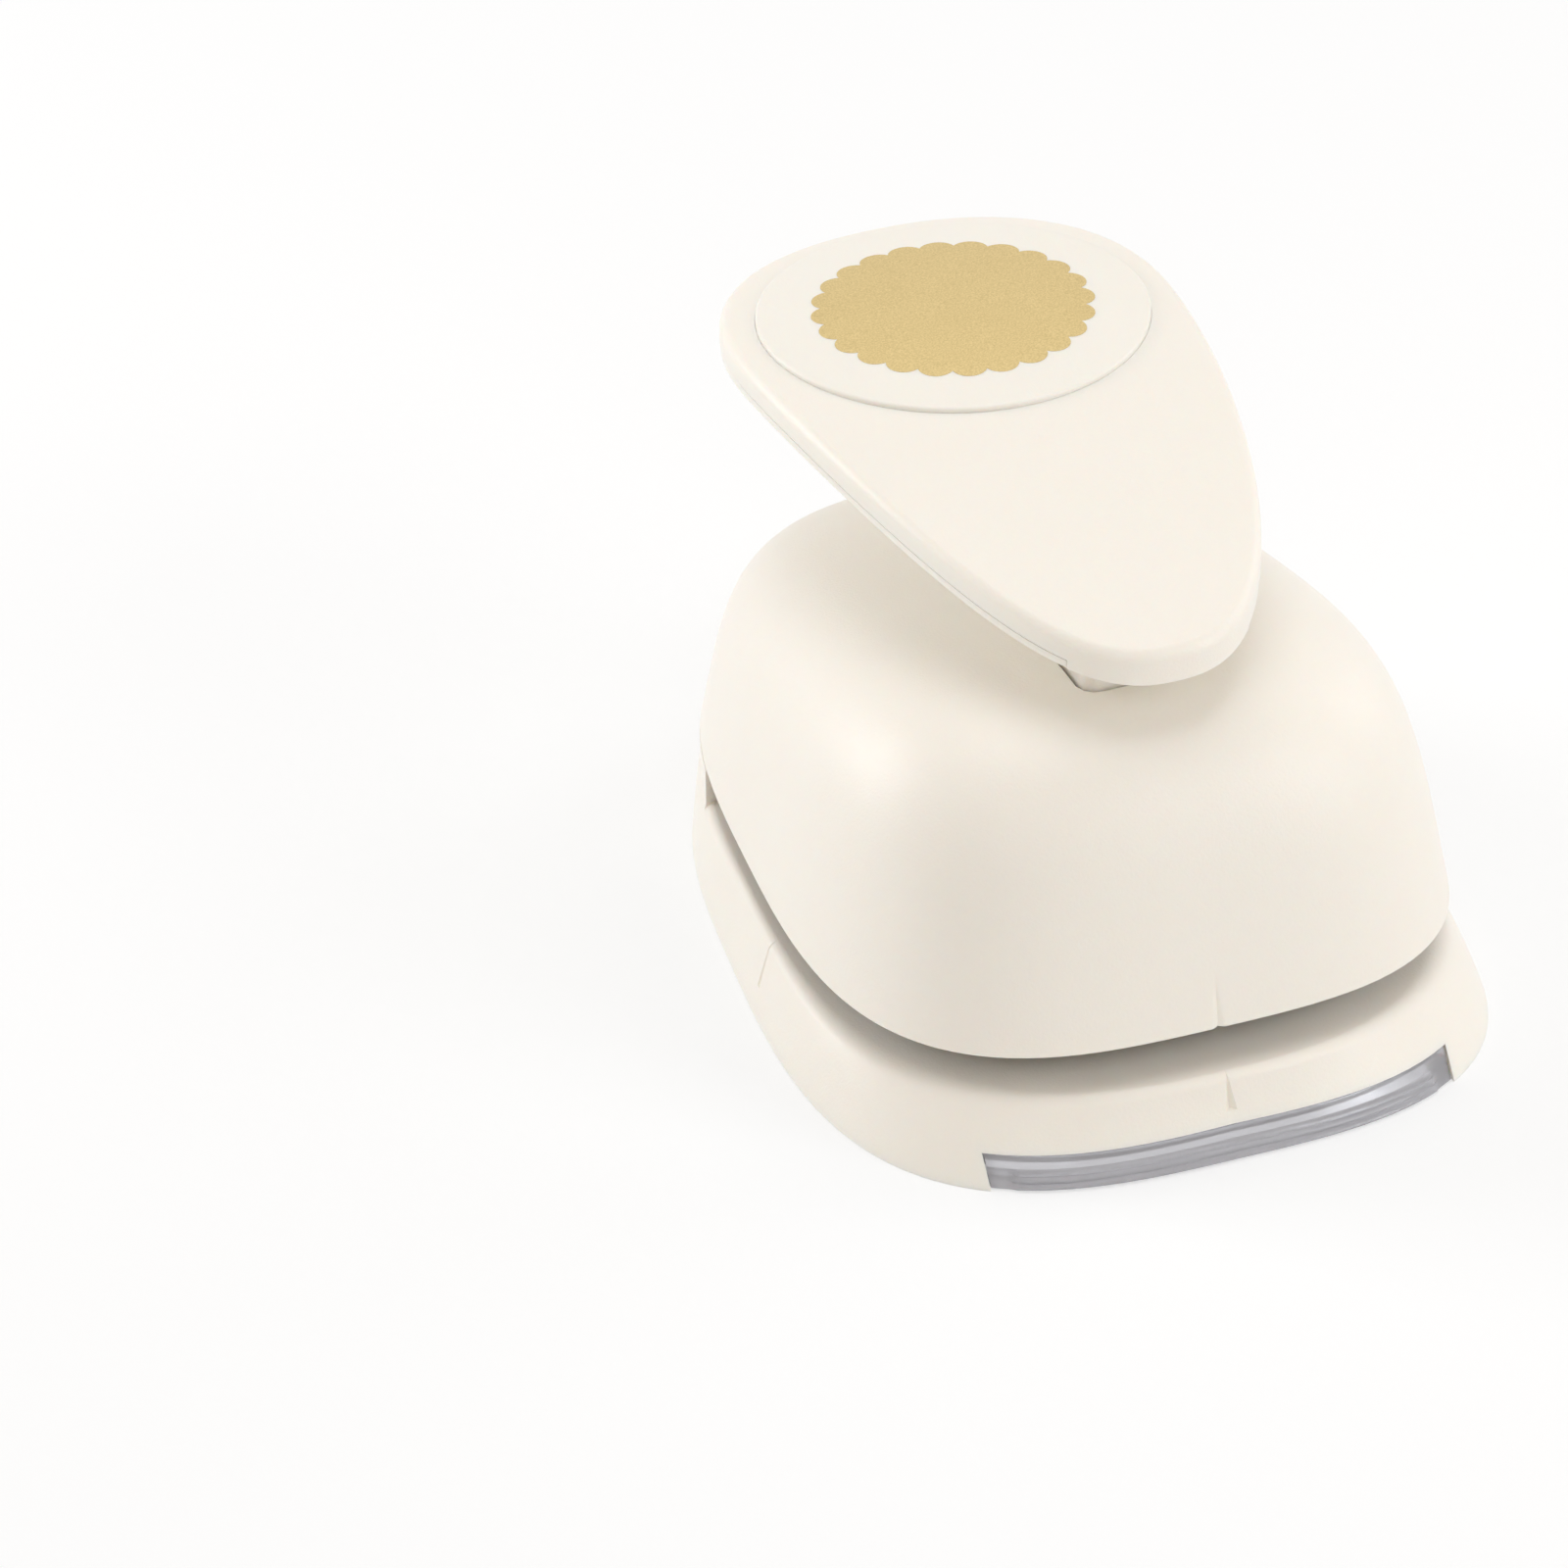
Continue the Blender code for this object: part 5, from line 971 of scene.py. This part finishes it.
def lever_half_width(y, inset=0.0):
    """Half width of the lever's plan at one place along it."""
    if y > LEVER_MID:
        share = (y - LEVER_MID) / (LEVER_BACK - inset - LEVER_MID)
        rest = max(0.0, 1 - share ** LEVER_BACK_POWER)
        return (LEVER_HALF_WIDTH - inset) * rest ** (1 / LEVER_BACK_POWER)
    share = (LEVER_MID - y) / (LEVER_MID - LEVER_FRONT - inset)
    rest = max(0.0, 1 - share ** LEVER_FRONT_POWER)
    return (LEVER_HALF_WIDTH - inset) * rest ** LEVER_FRONT_ROUND_SHARE


def lever_height(x, y):
    """Height of the lever's crowned top face."""
    if y < LEVER_TOP_PEAK:
        drop = LEVER_FRONT_DROP * ((LEVER_TOP_PEAK - y) / (LEVER_TOP_PEAK - LEVER_FRONT)) ** 2
    else:
        drop = LEVER_BACK_DROP * ((y - LEVER_TOP_PEAK) / (LEVER_BACK - LEVER_TOP_PEAK)) ** 2
    return LEVER_TOP - drop - LEVER_SIDE_DROP * (x / LEVER_HALF_WIDTH) ** 2


def lever_edge(y):
    """Height of the lever's top face where it meets the side wall."""
    return lever_height(lever_half_width(y), y)


def lever_low(y):
    """Height of the lower edge of the lever's side wall, where the beam's underside lies too."""
    return lever_edge(y) - LEVER_SKIRT


def beam_top(y):
    """Top of the lever's beam, just under the shell."""
    return lever_height(NECK_HALF_WIDTH, y) - LEVER_WALL - 2 * FIT_GAP


def lever_slab(name, front, back, inset, high_drop, low_drop):
    """Slab between two drops below the lever's edge, with its sides drawn in from the plan by inset."""
    rings = []
    for share in spread(0, 1, UNDERPLATE_STEPS):
        y = blend(front, back, 1 - (1 - share) ** UNDERPLATE_SPREAD_POWER)
        half = max(lever_half_width(min(y, LEVER_BACK - FIT_GAP), inset), LEVER_WALL)
        high, low = lever_edge(y) - high_drop, lever_edge(y) - low_drop
        rings.append([(-half, y, low), (half, y, low), (half, y, high), (-half, y, high)])
    return loft(name, rings)


def crowned(outline, rise, share=1):
    """Outline in plan, scaled towards the lever's middle and laid on its top face or at a rise over it."""
    points = [(x * share, LEVER_MID + (y - LEVER_MID) * share) for x, y in outline] if share < 1 else outline
    return [(x, y, lever_height(x, y) + rise) for x, y in points]


def lever_moulding():
    """Crowned top shell with a rounded edge, a side wall that is deeper round the tip, and a seat."""
    edge, inner = lever_outline(LEVER_EDGE_RADIUS), lever_outline(LEVER_WALL)
    foot, hollow = [[(x, y, lever_low(y) - LEVER_CHIN_DEPTH) for x, y in outline]
                    for outline in (lever_outline(), inner)]
    rings = [crowned(inner, -LEVER_WALL, share) for share in (0.05, 0.2, 0.4, 0.55, 0.7, 0.85, 1)]
    rings += [hollow, foot]
    rings += [crowned(lever_outline(inset), -sunk)
              for inset, sunk in rounding(LEVER_EDGE_RADIUS, range(0, 100, 10))]
    rings += [crowned(edge, 0.0, 1 - i / LEVER_RINGS) for i in range(1, LEVER_RINGS)]
    shell = loft("lever_moulding", rings)
    back = LEVER_BACK + OVERRUN
    subtract(shell, lever_slab("rebate", LEVER_CHIN_Y, back, -OVERRUN, LEVER_SKIRT, OVERRUN * 2))
    unite(shell, *[lever_boss(*place) for place in LEVER_SCREWS])
    seat = crowned_disc("seat", disc_outline, DISC_RADIUS + DISC_GAP, -DISC_SEAT - FIT_GAP, OVERRUN)
    return subtract(shell, seat, *[
        drill(x, y, SCREW_HOLE, lever_low(y) - OVERRUN, lever_screw_tip(x, y) + FIT_GAP)
        for x, y in LEVER_SCREWS])


def lever_screw_tip(x, y):
    """Height that a lever screw reaches in its boss, below the seat of the disc."""
    return blend(lever_low(y), lever_height(x, y) - LEVER_WALL, LEVER_SCREW_BITE_SHARE)


def lever_boss(x, y):
    """Boss under the shell that takes a screw; over the beam it only reaches down to the beam."""
    low = beam_top(y + LEVER_BOSS_RADIUS) + FIT_GAP if (x, y) in BEAM_SCREWS else lever_low(y)
    high = lever_height(x, y) - LEVER_WALL / 2 - DISC_SEAT
    return prism("boss", circle(x, y, LEVER_BOSS_RADIUS), low, high)


def disc_outline(radius):
    """Circle round the disc's middle."""
    return circle(0, DISC_Y, radius, DISC_STEPS)


def crowned_disc(name, outline, radius, low, high, edge=0.0):
    """Disc between two rises over the lever's crowned top; outline() gives its plan at a radius."""
    shares = [(i + 0.5) / DISC_RINGS for i in range(DISC_RINGS)] + [1]
    rings = [crowned(outline(radius * share), low) for share in shares]
    if edge:
        for inset, sunk in rounding(edge, (0, 30, 60)):
            rings.append(crowned(outline(radius - inset), high - sunk))
    rings += [crowned(outline((radius - edge) * share), high) for share in shares[::-1]]
    return loft(name, rings)


def foil_scallop():
    """Thin foil in the cut shape, stamped on the disc."""
    shape = scallops(0.0, FOIL_RADIUS, FOIL_DEPTH)
    return crowned_disc("foil_scallop", lambda share: [(x * share, DISC_Y + y * share) for x, y in shape], 1,
                        DISC_RISE - FOIL_THICKNESS * 1.5, DISC_RISE)


def closing_plate():
    """Thin plate that closes the lever from below, with an opening for the neck."""
    high, low = LEVER_SKIRT + FIT_GAP, LEVER_SKIRT + FIT_GAP + UNDERPLATE_THICKNESS
    seam = LEVER_CHIN_Y + FIT_GAP
    plate = lever_slab("closing_plate", seam, LEVER_BACK - FIT_GAP, FIT_GAP / 2, high, low)
    front = LEVER_FRONT + LEVER_WALL + FIT_GAP * 4
    unite(plate, lever_slab("tongue", front, seam + FIT_GAP, LEVER_WALL + FIT_GAP, high, low))
    opening = box(NECK_HALF_WIDTH + FIT_GAP * 2, NECK_FRONT - FIT_GAP * 2, NECK_BACK + FIT_GAP * 4,
                  lever_edge(LEVER_FRONT) - LEVER_TOP, LEVER_TOP)
    return subtract(plate, opening, *[
        drill(x, y, SCREW_HOLE, lever_low(y) - LEVER_SKIRT, lever_edge(y)) for x, y in LEVER_SCREWS])


def neck_and_beam():
    """Stiff inner arm: a beam inside the lever, and the neck with its pivot eye and pressing nose."""
    upper = spread(BEAM_BACK, BEAM_FRONT, BEAM_STEPS)
    outline = [(y, beam_top(y)) for y in upper] + [(y, lever_low(y)) for y in upper[::-1]]
    core = side_plate("neck_and_beam", outline, NECK_HALF_WIDTH)
    outline = [(y, lever_low(y) + FIT_GAP * 2) for y in (NECK_BACK, NECK_FRONT)]
    outline += arc(PIVOT_Y, PIVOT_HEIGHT, NECK_EYE_RADIUS, 178, 266)
    outline += arc(0, NOSE_HEIGHT, NOSE_RADIUS, 258, 370)
    outline += [(NECK_BACK + NOSE_RADIUS / 2, NOSE_HEIGHT + NOSE_RADIUS * 2)]
    neck = side_plate("neck", outline, NECK_HALF_WIDTH + OVERRUN)
    plan = rounded_rectangle(NECK_HALF_WIDTH - FIT_GAP / 3, NECK_FRONT - FIT_GAP / 3, NOSE_RADIUS * 2)
    unite(core, combine(neck, [prism("round", plan, NOSE_HEIGHT - NOSE_RADIUS * 2, LEVER_TOP)], "INTERSECT"))
    eye = arc(PIVOT_Y, PIVOT_HEIGHT, PIN_RADIUS + FIT_GAP, 0, 360, ROUND_STEPS)[:-1]
    return subtract(core, side_plate("eye", eye, NECK_HALF_WIDTH + OVERRUN), *[
        drill(x, y, SCREW_HOLE, lever_low(y) - OVERRUN, beam_top(y) + OVERRUN) for x, y in BEAM_SCREWS])


# Finishes

class Field:
    """Output of a shader node. Python's operators on it add Math nodes, and node() adds any other."""

    def __init__(self, tree, socket=None):
        self.tree = tree
        self.socket = socket

    def node(self, kind, settings=None, sockets=None, output=0):
        """Add a node of a kind: its settings first, then values or links of its sockets."""
        made = self.tree.nodes.new("ShaderNode" + kind)
        for name, value in (settings or {}).items():
            setattr(made, name, value)
        for name, value in (sockets or {}).items():
            if isinstance(value, Field):
                self.tree.links.new(value.socket, made.inputs[name])
            else:
                made.inputs[name].default_value = value
        return Field(self.tree, made.outputs[output])

    def math(self, operation, first, second):
        """Math node on two values."""
        return self.node("Math", {"operation": operation}, {0: first, 1: second})

    def __add__(self, other):
        return self.math("ADD", self, other)

    def __radd__(self, other):
        return self.math("ADD", other, self)

    def __sub__(self, other):
        return self.math("SUBTRACT", self, other)

    def __rsub__(self, other):
        return self.math("SUBTRACT", other, self)

    def __mul__(self, other):
        return self.math("MULTIPLY", self, other)

    def __rmul__(self, other):
        return self.math("MULTIPLY", other, self)

    def clamped(self):
        """The value held between 0 and 1."""
        return self.node("Clamp", None, {"Value": self})

    def scaled(self, x, y, z):
        """A vector stretched along the axes."""
        return self.node("VectorMath", {"operation": "MULTIPLY"}, {0: self, 1: (x, y, z)})

    def noise(self, size, detail=2.0, roughness=0.5):
        """Noise whose blotches are about the given size across, in metres."""
        return self.node("TexNoise", None, {"Vector": self, "Scale": 1 / size, "Detail": detail,
                                            "Roughness": roughness})

    def tint(self, low, high):
        """Colour between two colours, chosen by this value."""
        return self.node("Mix", {"data_type": "RGBA"}, {"Factor": self, "A": (*low, 1), "B": (*high, 1)}, 2)

    def bump(self, depth, strength=1.0):
        """Normal of a surface raised by this value, up to a depth in metres."""
        return self.node("Bump", None, {"Height": self, "Distance": depth, "Strength": strength})

    def feed(self, socket):
        """Link this value to a socket."""
        self.tree.links.new(self.socket, socket)


def finish(name, constants, recipe):
    """Material whose constants sit on the shader; recipe gives what varies, from the piece's own place."""
    material = bpy.data.materials.new(name)
    material.use_nodes = True
    shader = material.node_tree.nodes["Principled BSDF"]
    for socket, value in constants.items():
        shader.inputs[socket].default_value = value
    place = Field(material.node_tree).node("TexCoord", None, None, "Object")
    for socket, field in recipe(place).items():
        field.feed(shader.inputs[socket])
    return material


def moulded(light, dark, low, high, grain_depth):
    """Recipe of a satin moulded plastic: fine spark grain, faint clouding and small scuffs."""
    def recipe(place):
        grain = place.noise(GRAIN_SIZE, 3.0, 0.6)
        cloud = place.noise(CLOUD_SIZE, 3.0)
        scuff = place.scaled(1, 1, 0.3).noise(SCUFF_SIZE, 4.0, 0.7)
        return {"Base Color": (cloud * 0.8 + grain * 0.2).tint(dark, light),
                "Roughness": low + (high - low) * (grain * 0.6 + scuff * 0.4),
                "Normal": (grain + scuff * 0.3).bump(grain_depth)}
    return recipe


def gold_foil(place):
    """Recipe of matt gold foil with fine flakes."""
    flake = place.noise(FLAKE_SIZE, 2.0, 0.7)
    cloud = place.noise(FOIL_CLOUD_SIZE, 2.0)
    return {"Base Color": (flake * 3.0 - 1.1 + cloud * 0.2).clamped().tint(GOLD_DEEP, GOLD_PALE),
            "Roughness": 0.38 + flake * 0.22,
            "Normal": flake.bump(FLAKE_DEPTH)}


def clear_moulding(place):
    """Recipe of clear styrene: faint flow lines."""
    flow = place.scaled(0.3, 1, 1).noise(FLOW_SIZE, 2.0)
    return {"Base Color": flow.tint(CLEAR_DEEP, CLEAR_PALE),
            "Roughness": 0.05 + flow * 0.05,
            "Normal": flow.bump(FLOW_DEPTH, 0.2)}


def ground_steel(tone, low, high):
    """Recipe of ground steel: fine lines along one way and a little stain."""
    def recipe(place):
        lines = place.scaled(0.03, 1, 1).noise(LINE_SIZE, 2.0)
        stain = place.noise(STAIN_SIZE, 3.0)
        dark = tuple(value * STEEL_DEEP_SHARE for value in tone)
        return {"Base Color": (lines * 0.5 + stain * 0.5).tint(dark, tone),
                "Roughness": low + (high - low) * (lines * 0.6 + stain * 0.4),
                "Normal": lines.bump(LINE_DEPTH)}
    return recipe


PLASTIC = {"IOR": 1.5, "Specular IOR Level": 0.5}
TRANSLUCENT = {"Subsurface Weight": 0.3, "Subsurface Radius": (1.0, 0.6, 0.4), "Subsurface Scale": 0.002}
METAL = {"Metallic": 1.0}

finishes = {
    "ivory": finish("satin_ivory", PLASTIC | TRANSLUCENT,
                    moulded(IVORY_PALE, IVORY_DEEP, 0.30, 0.46, GRAIN_DEPTH)),
    "grey": finish("grey_moulding", PLASTIC, moulded(GREY_PALE, GREY_DEEP, 0.42, 0.60, CARRIER_GRAIN_DEPTH)),
    "gold": finish("gold_foil", {"Metallic": 0.55, "IOR": 1.5}, gold_foil),
    "clear": finish("clear_styrene", {"Transmission Weight": 0.7, "IOR": 1.45}, clear_moulding),
    "steel": finish("plated_steel", METAL, ground_steel((0.72, 0.72, 0.71), 0.22, 0.38)),
    "tool_steel": finish("tool_steel", METAL, ground_steel((0.46, 0.47, 0.49), 0.18, 0.30)),
    "spring_steel": finish("spring_steel", METAL, ground_steel((0.52, 0.52, 0.53), 0.22, 0.34))}


def dress(item, slot, body, node=None):
    """Give a piece the finish of its slot, shade it, put it on its body and hide the node that it stands for.
    """
    item.data.materials.clear()
    item.data.materials.append(finishes[slot])
    item.data.transform(Matrix.Translation((0, DIE_AXIS_Y, 0)))
    item.data.shade_smooth()
    item.data.set_sharp_from_angle(angle=SHARP_ANGLE)
    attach(item, body)
    if node:
        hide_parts(node)
    return item


# The punch

screw_places = both_sides(REAR_SCREW, RIVET)
dress(base_moulding(), "ivory", "body", "base_shell")
dress(dome_moulding(), "ivory", "body", "dome_shell")
dress(clear_tray(), "clear", "tray", "chip_tray")
dress(ground_plate("ground_die", DIE_PLAN, DIE_LOW, DECK_HEIGHT, screw_places), "steel", "body", "die_plate")
dress(ground_plate("ground_guide", GUIDE_PLAN, GUIDE_LOW, GUIDE_TOP, screw_places + both_sides(BRACKET_SCREW),
                   corner_places(POST_PLACE), both_sides(FRONT_SCREW)), "steel", "body", "guide_plate")
dress(ground_punch(), "tool_steel", "plunger", "punch_head")

# The springs stand on the posts' flanges; the punch's stroke is read, but they are not shortened by it
stroke = next(joint["range_m"][1] for joint in frame["joints"] if joint["name"] == "plunger_slide")
for number, place in enumerate(corner_places(POST_PLACE), 1):
    spring = dress(coiled_spring(number, place), "spring_steel", "body", "return_spring_%d" % number)
    1 - stroke / (SPRING_TOP - SPRING_LOW)
    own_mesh(spring)

dress(neck_and_beam(), "ivory", "lever", "lever_core")
dress(lever_moulding(), "ivory", "lever", "lever_shell")
dress(closing_plate(), "ivory", "lever", "lever_underplate")
dress(crowned_disc("raised_disc", disc_outline, DISC_RADIUS, -DISC_SEAT, DISC_RISE - FOIL_THICKNESS,
                   DISC_EDGE), "ivory", "lever", "lever_disc")
dress(foil_scallop(), "gold", "lever")
for number, (x, y) in enumerate(LEVER_SCREWS, 1):
    seat = lever_low(y) - FIT_GAP * 3 - UNDERPLATE_THICKNESS
    dress(cross_screw("lever_%d" % number, (x, y), seat, lever_screw_tip(x, y), LEVER_SCREW_HEAD_HEIGHT),
          "steel", "lever", "lever_screw_%d" % number)
for side, place in zip(("left", "right"), both_sides(REAR_SCREW)):
    dress(cross_screw("rear_" + side, place, REAR_SCREW_SEAT - FIT_GAP, GUIDE_SEAT + REAR_SCREW_REACH,
                      SCREW_HEAD_HEIGHT), "steel", "body", "dome_screw_rear_" + side)

# The nodes that no piece stands for are of steel, apart from two
other_slots = {"punch_carrier": "grey", "pin_clip": "spring_steel"}
for node, item in frame["nodes"].items():
    if not item.hide_render:
        item.data.materials.clear()
        item.data.materials.append(finishes[other_slots.get(node, "steel")])


# Floor, light and camera

def seen(start):
    """1 for a ray that comes from the camera, a gloss or through a clear piece, otherwise 0."""
    sight, gloss, through = [start.node("LightPath", None, None, "Is %s Ray" % kind)
                             for kind in ("Camera", "Glossy", "Transmission")]
    return (sight + gloss + through).clamped()


def show(plain, white, share, output):
    """Let a tree's output show a white shader by a share, and otherwise the plain one."""
    mixed = plain.node("MixShader", None, {0: share, 1: plain, 2: white})
    mixed.feed(plain.tree.nodes[output].inputs["Surface"])


def backdrop(name):
    """Pale floor: it shows near white to the camera, and still takes the punch's shadow."""
    shape = bmesh.new()
    bmesh.ops.create_grid(shape, x_segments=8, y_segments=8, size=FLOOR_REACH)
    floor = new_object(name, shape)
    material = bpy.data.materials.new(name)
    material.use_nodes = True
    start = Field(material.node_tree)
    place = start.node("TexCoord", None, None, "Object")
    away = start.node("VectorMath", {"operation": "LENGTH"}, {0: place}, "Value")
    far = ((away - FLOOR_NEAR) * FLOOR_FADE_RATE).clamped()
    show(start.node("BsdfDiffuse", None, {"Color": FLOOR_MATT}),
         start.node("Emission", None, {"Color": WHITE, "Strength": 1.0}),
         seen(start) * (FLOOR_WHITE_SHARE + far * (1 - FLOOR_WHITE_SHARE)), "Material Output")
    floor.data.materials.append(material)


def daylight():
    """World that is white where it is seen, and a soft even light elsewhere."""
    world = bpy.data.worlds.new("studio")
    bpy.context.scene.world = world
    world.use_nodes = True
    start = Field(world.node_tree)
    show(start.node("Background", None, {"Color": WORLD_LIGHT, "Strength": WORLD_STRENGTH}),
         start.node("Background", None, {"Color": WHITE, "Strength": 1.0}), seen(start), "World Output")


def place_at(name, data, place, turn):
    """Put a lamp or camera in the scene at a place, turned by a quaternion."""
    item = bpy.data.objects.new(name, data)
    item.location = place
    item.rotation_mode = "QUATERNION"
    item.rotation_quaternion = turn
    bpy.context.scene.collection.objects.link(item)
    return item


def softbox(name, place, target_height, width, depth, power):
    """Rectangular soft light aimed at a point over the punch's middle."""
    data = bpy.data.lights.new(name, "AREA")
    data.shape = "RECTANGLE"
    data.size = width
    data.size_y = depth
    data.energy = power
    data.color = LAMP_LIGHT
    place_at(name, data, place, (Vector((0, 0, target_height)) - Vector(place)).to_track_quat("-Z", "Y"))


def photo_camera():
    """Camera at the photograph's viewing angle."""
    turn = (Matrix.Rotation(CAMERA_AZIMUTH, 3, "Z") @ Matrix.Rotation(pi / 2 - CAMERA_ELEVATION, 3, "X")
            @ Matrix.Rotation(CAMERA_ROLL, 3, "Z"))
    data = bpy.data.cameras.new("photo_view")
    data.sensor_width = 36
    data.lens = CAMERA_LENS
    data.clip_start = 0.1
    data.clip_end = 20
    place = Vector(CAMERA_TARGET) + turn.col[2] * CAMERA_DISTANCE
    return place_at("photo_view", data, place, turn.to_quaternion())


backdrop("floor")
daylight()
for name, lamp in LAMPS.items():
    softbox(name, *lamp)
bpy.context.scene.camera = photo_camera()
bpy.context.scene.view_settings.view_transform = "Standard"
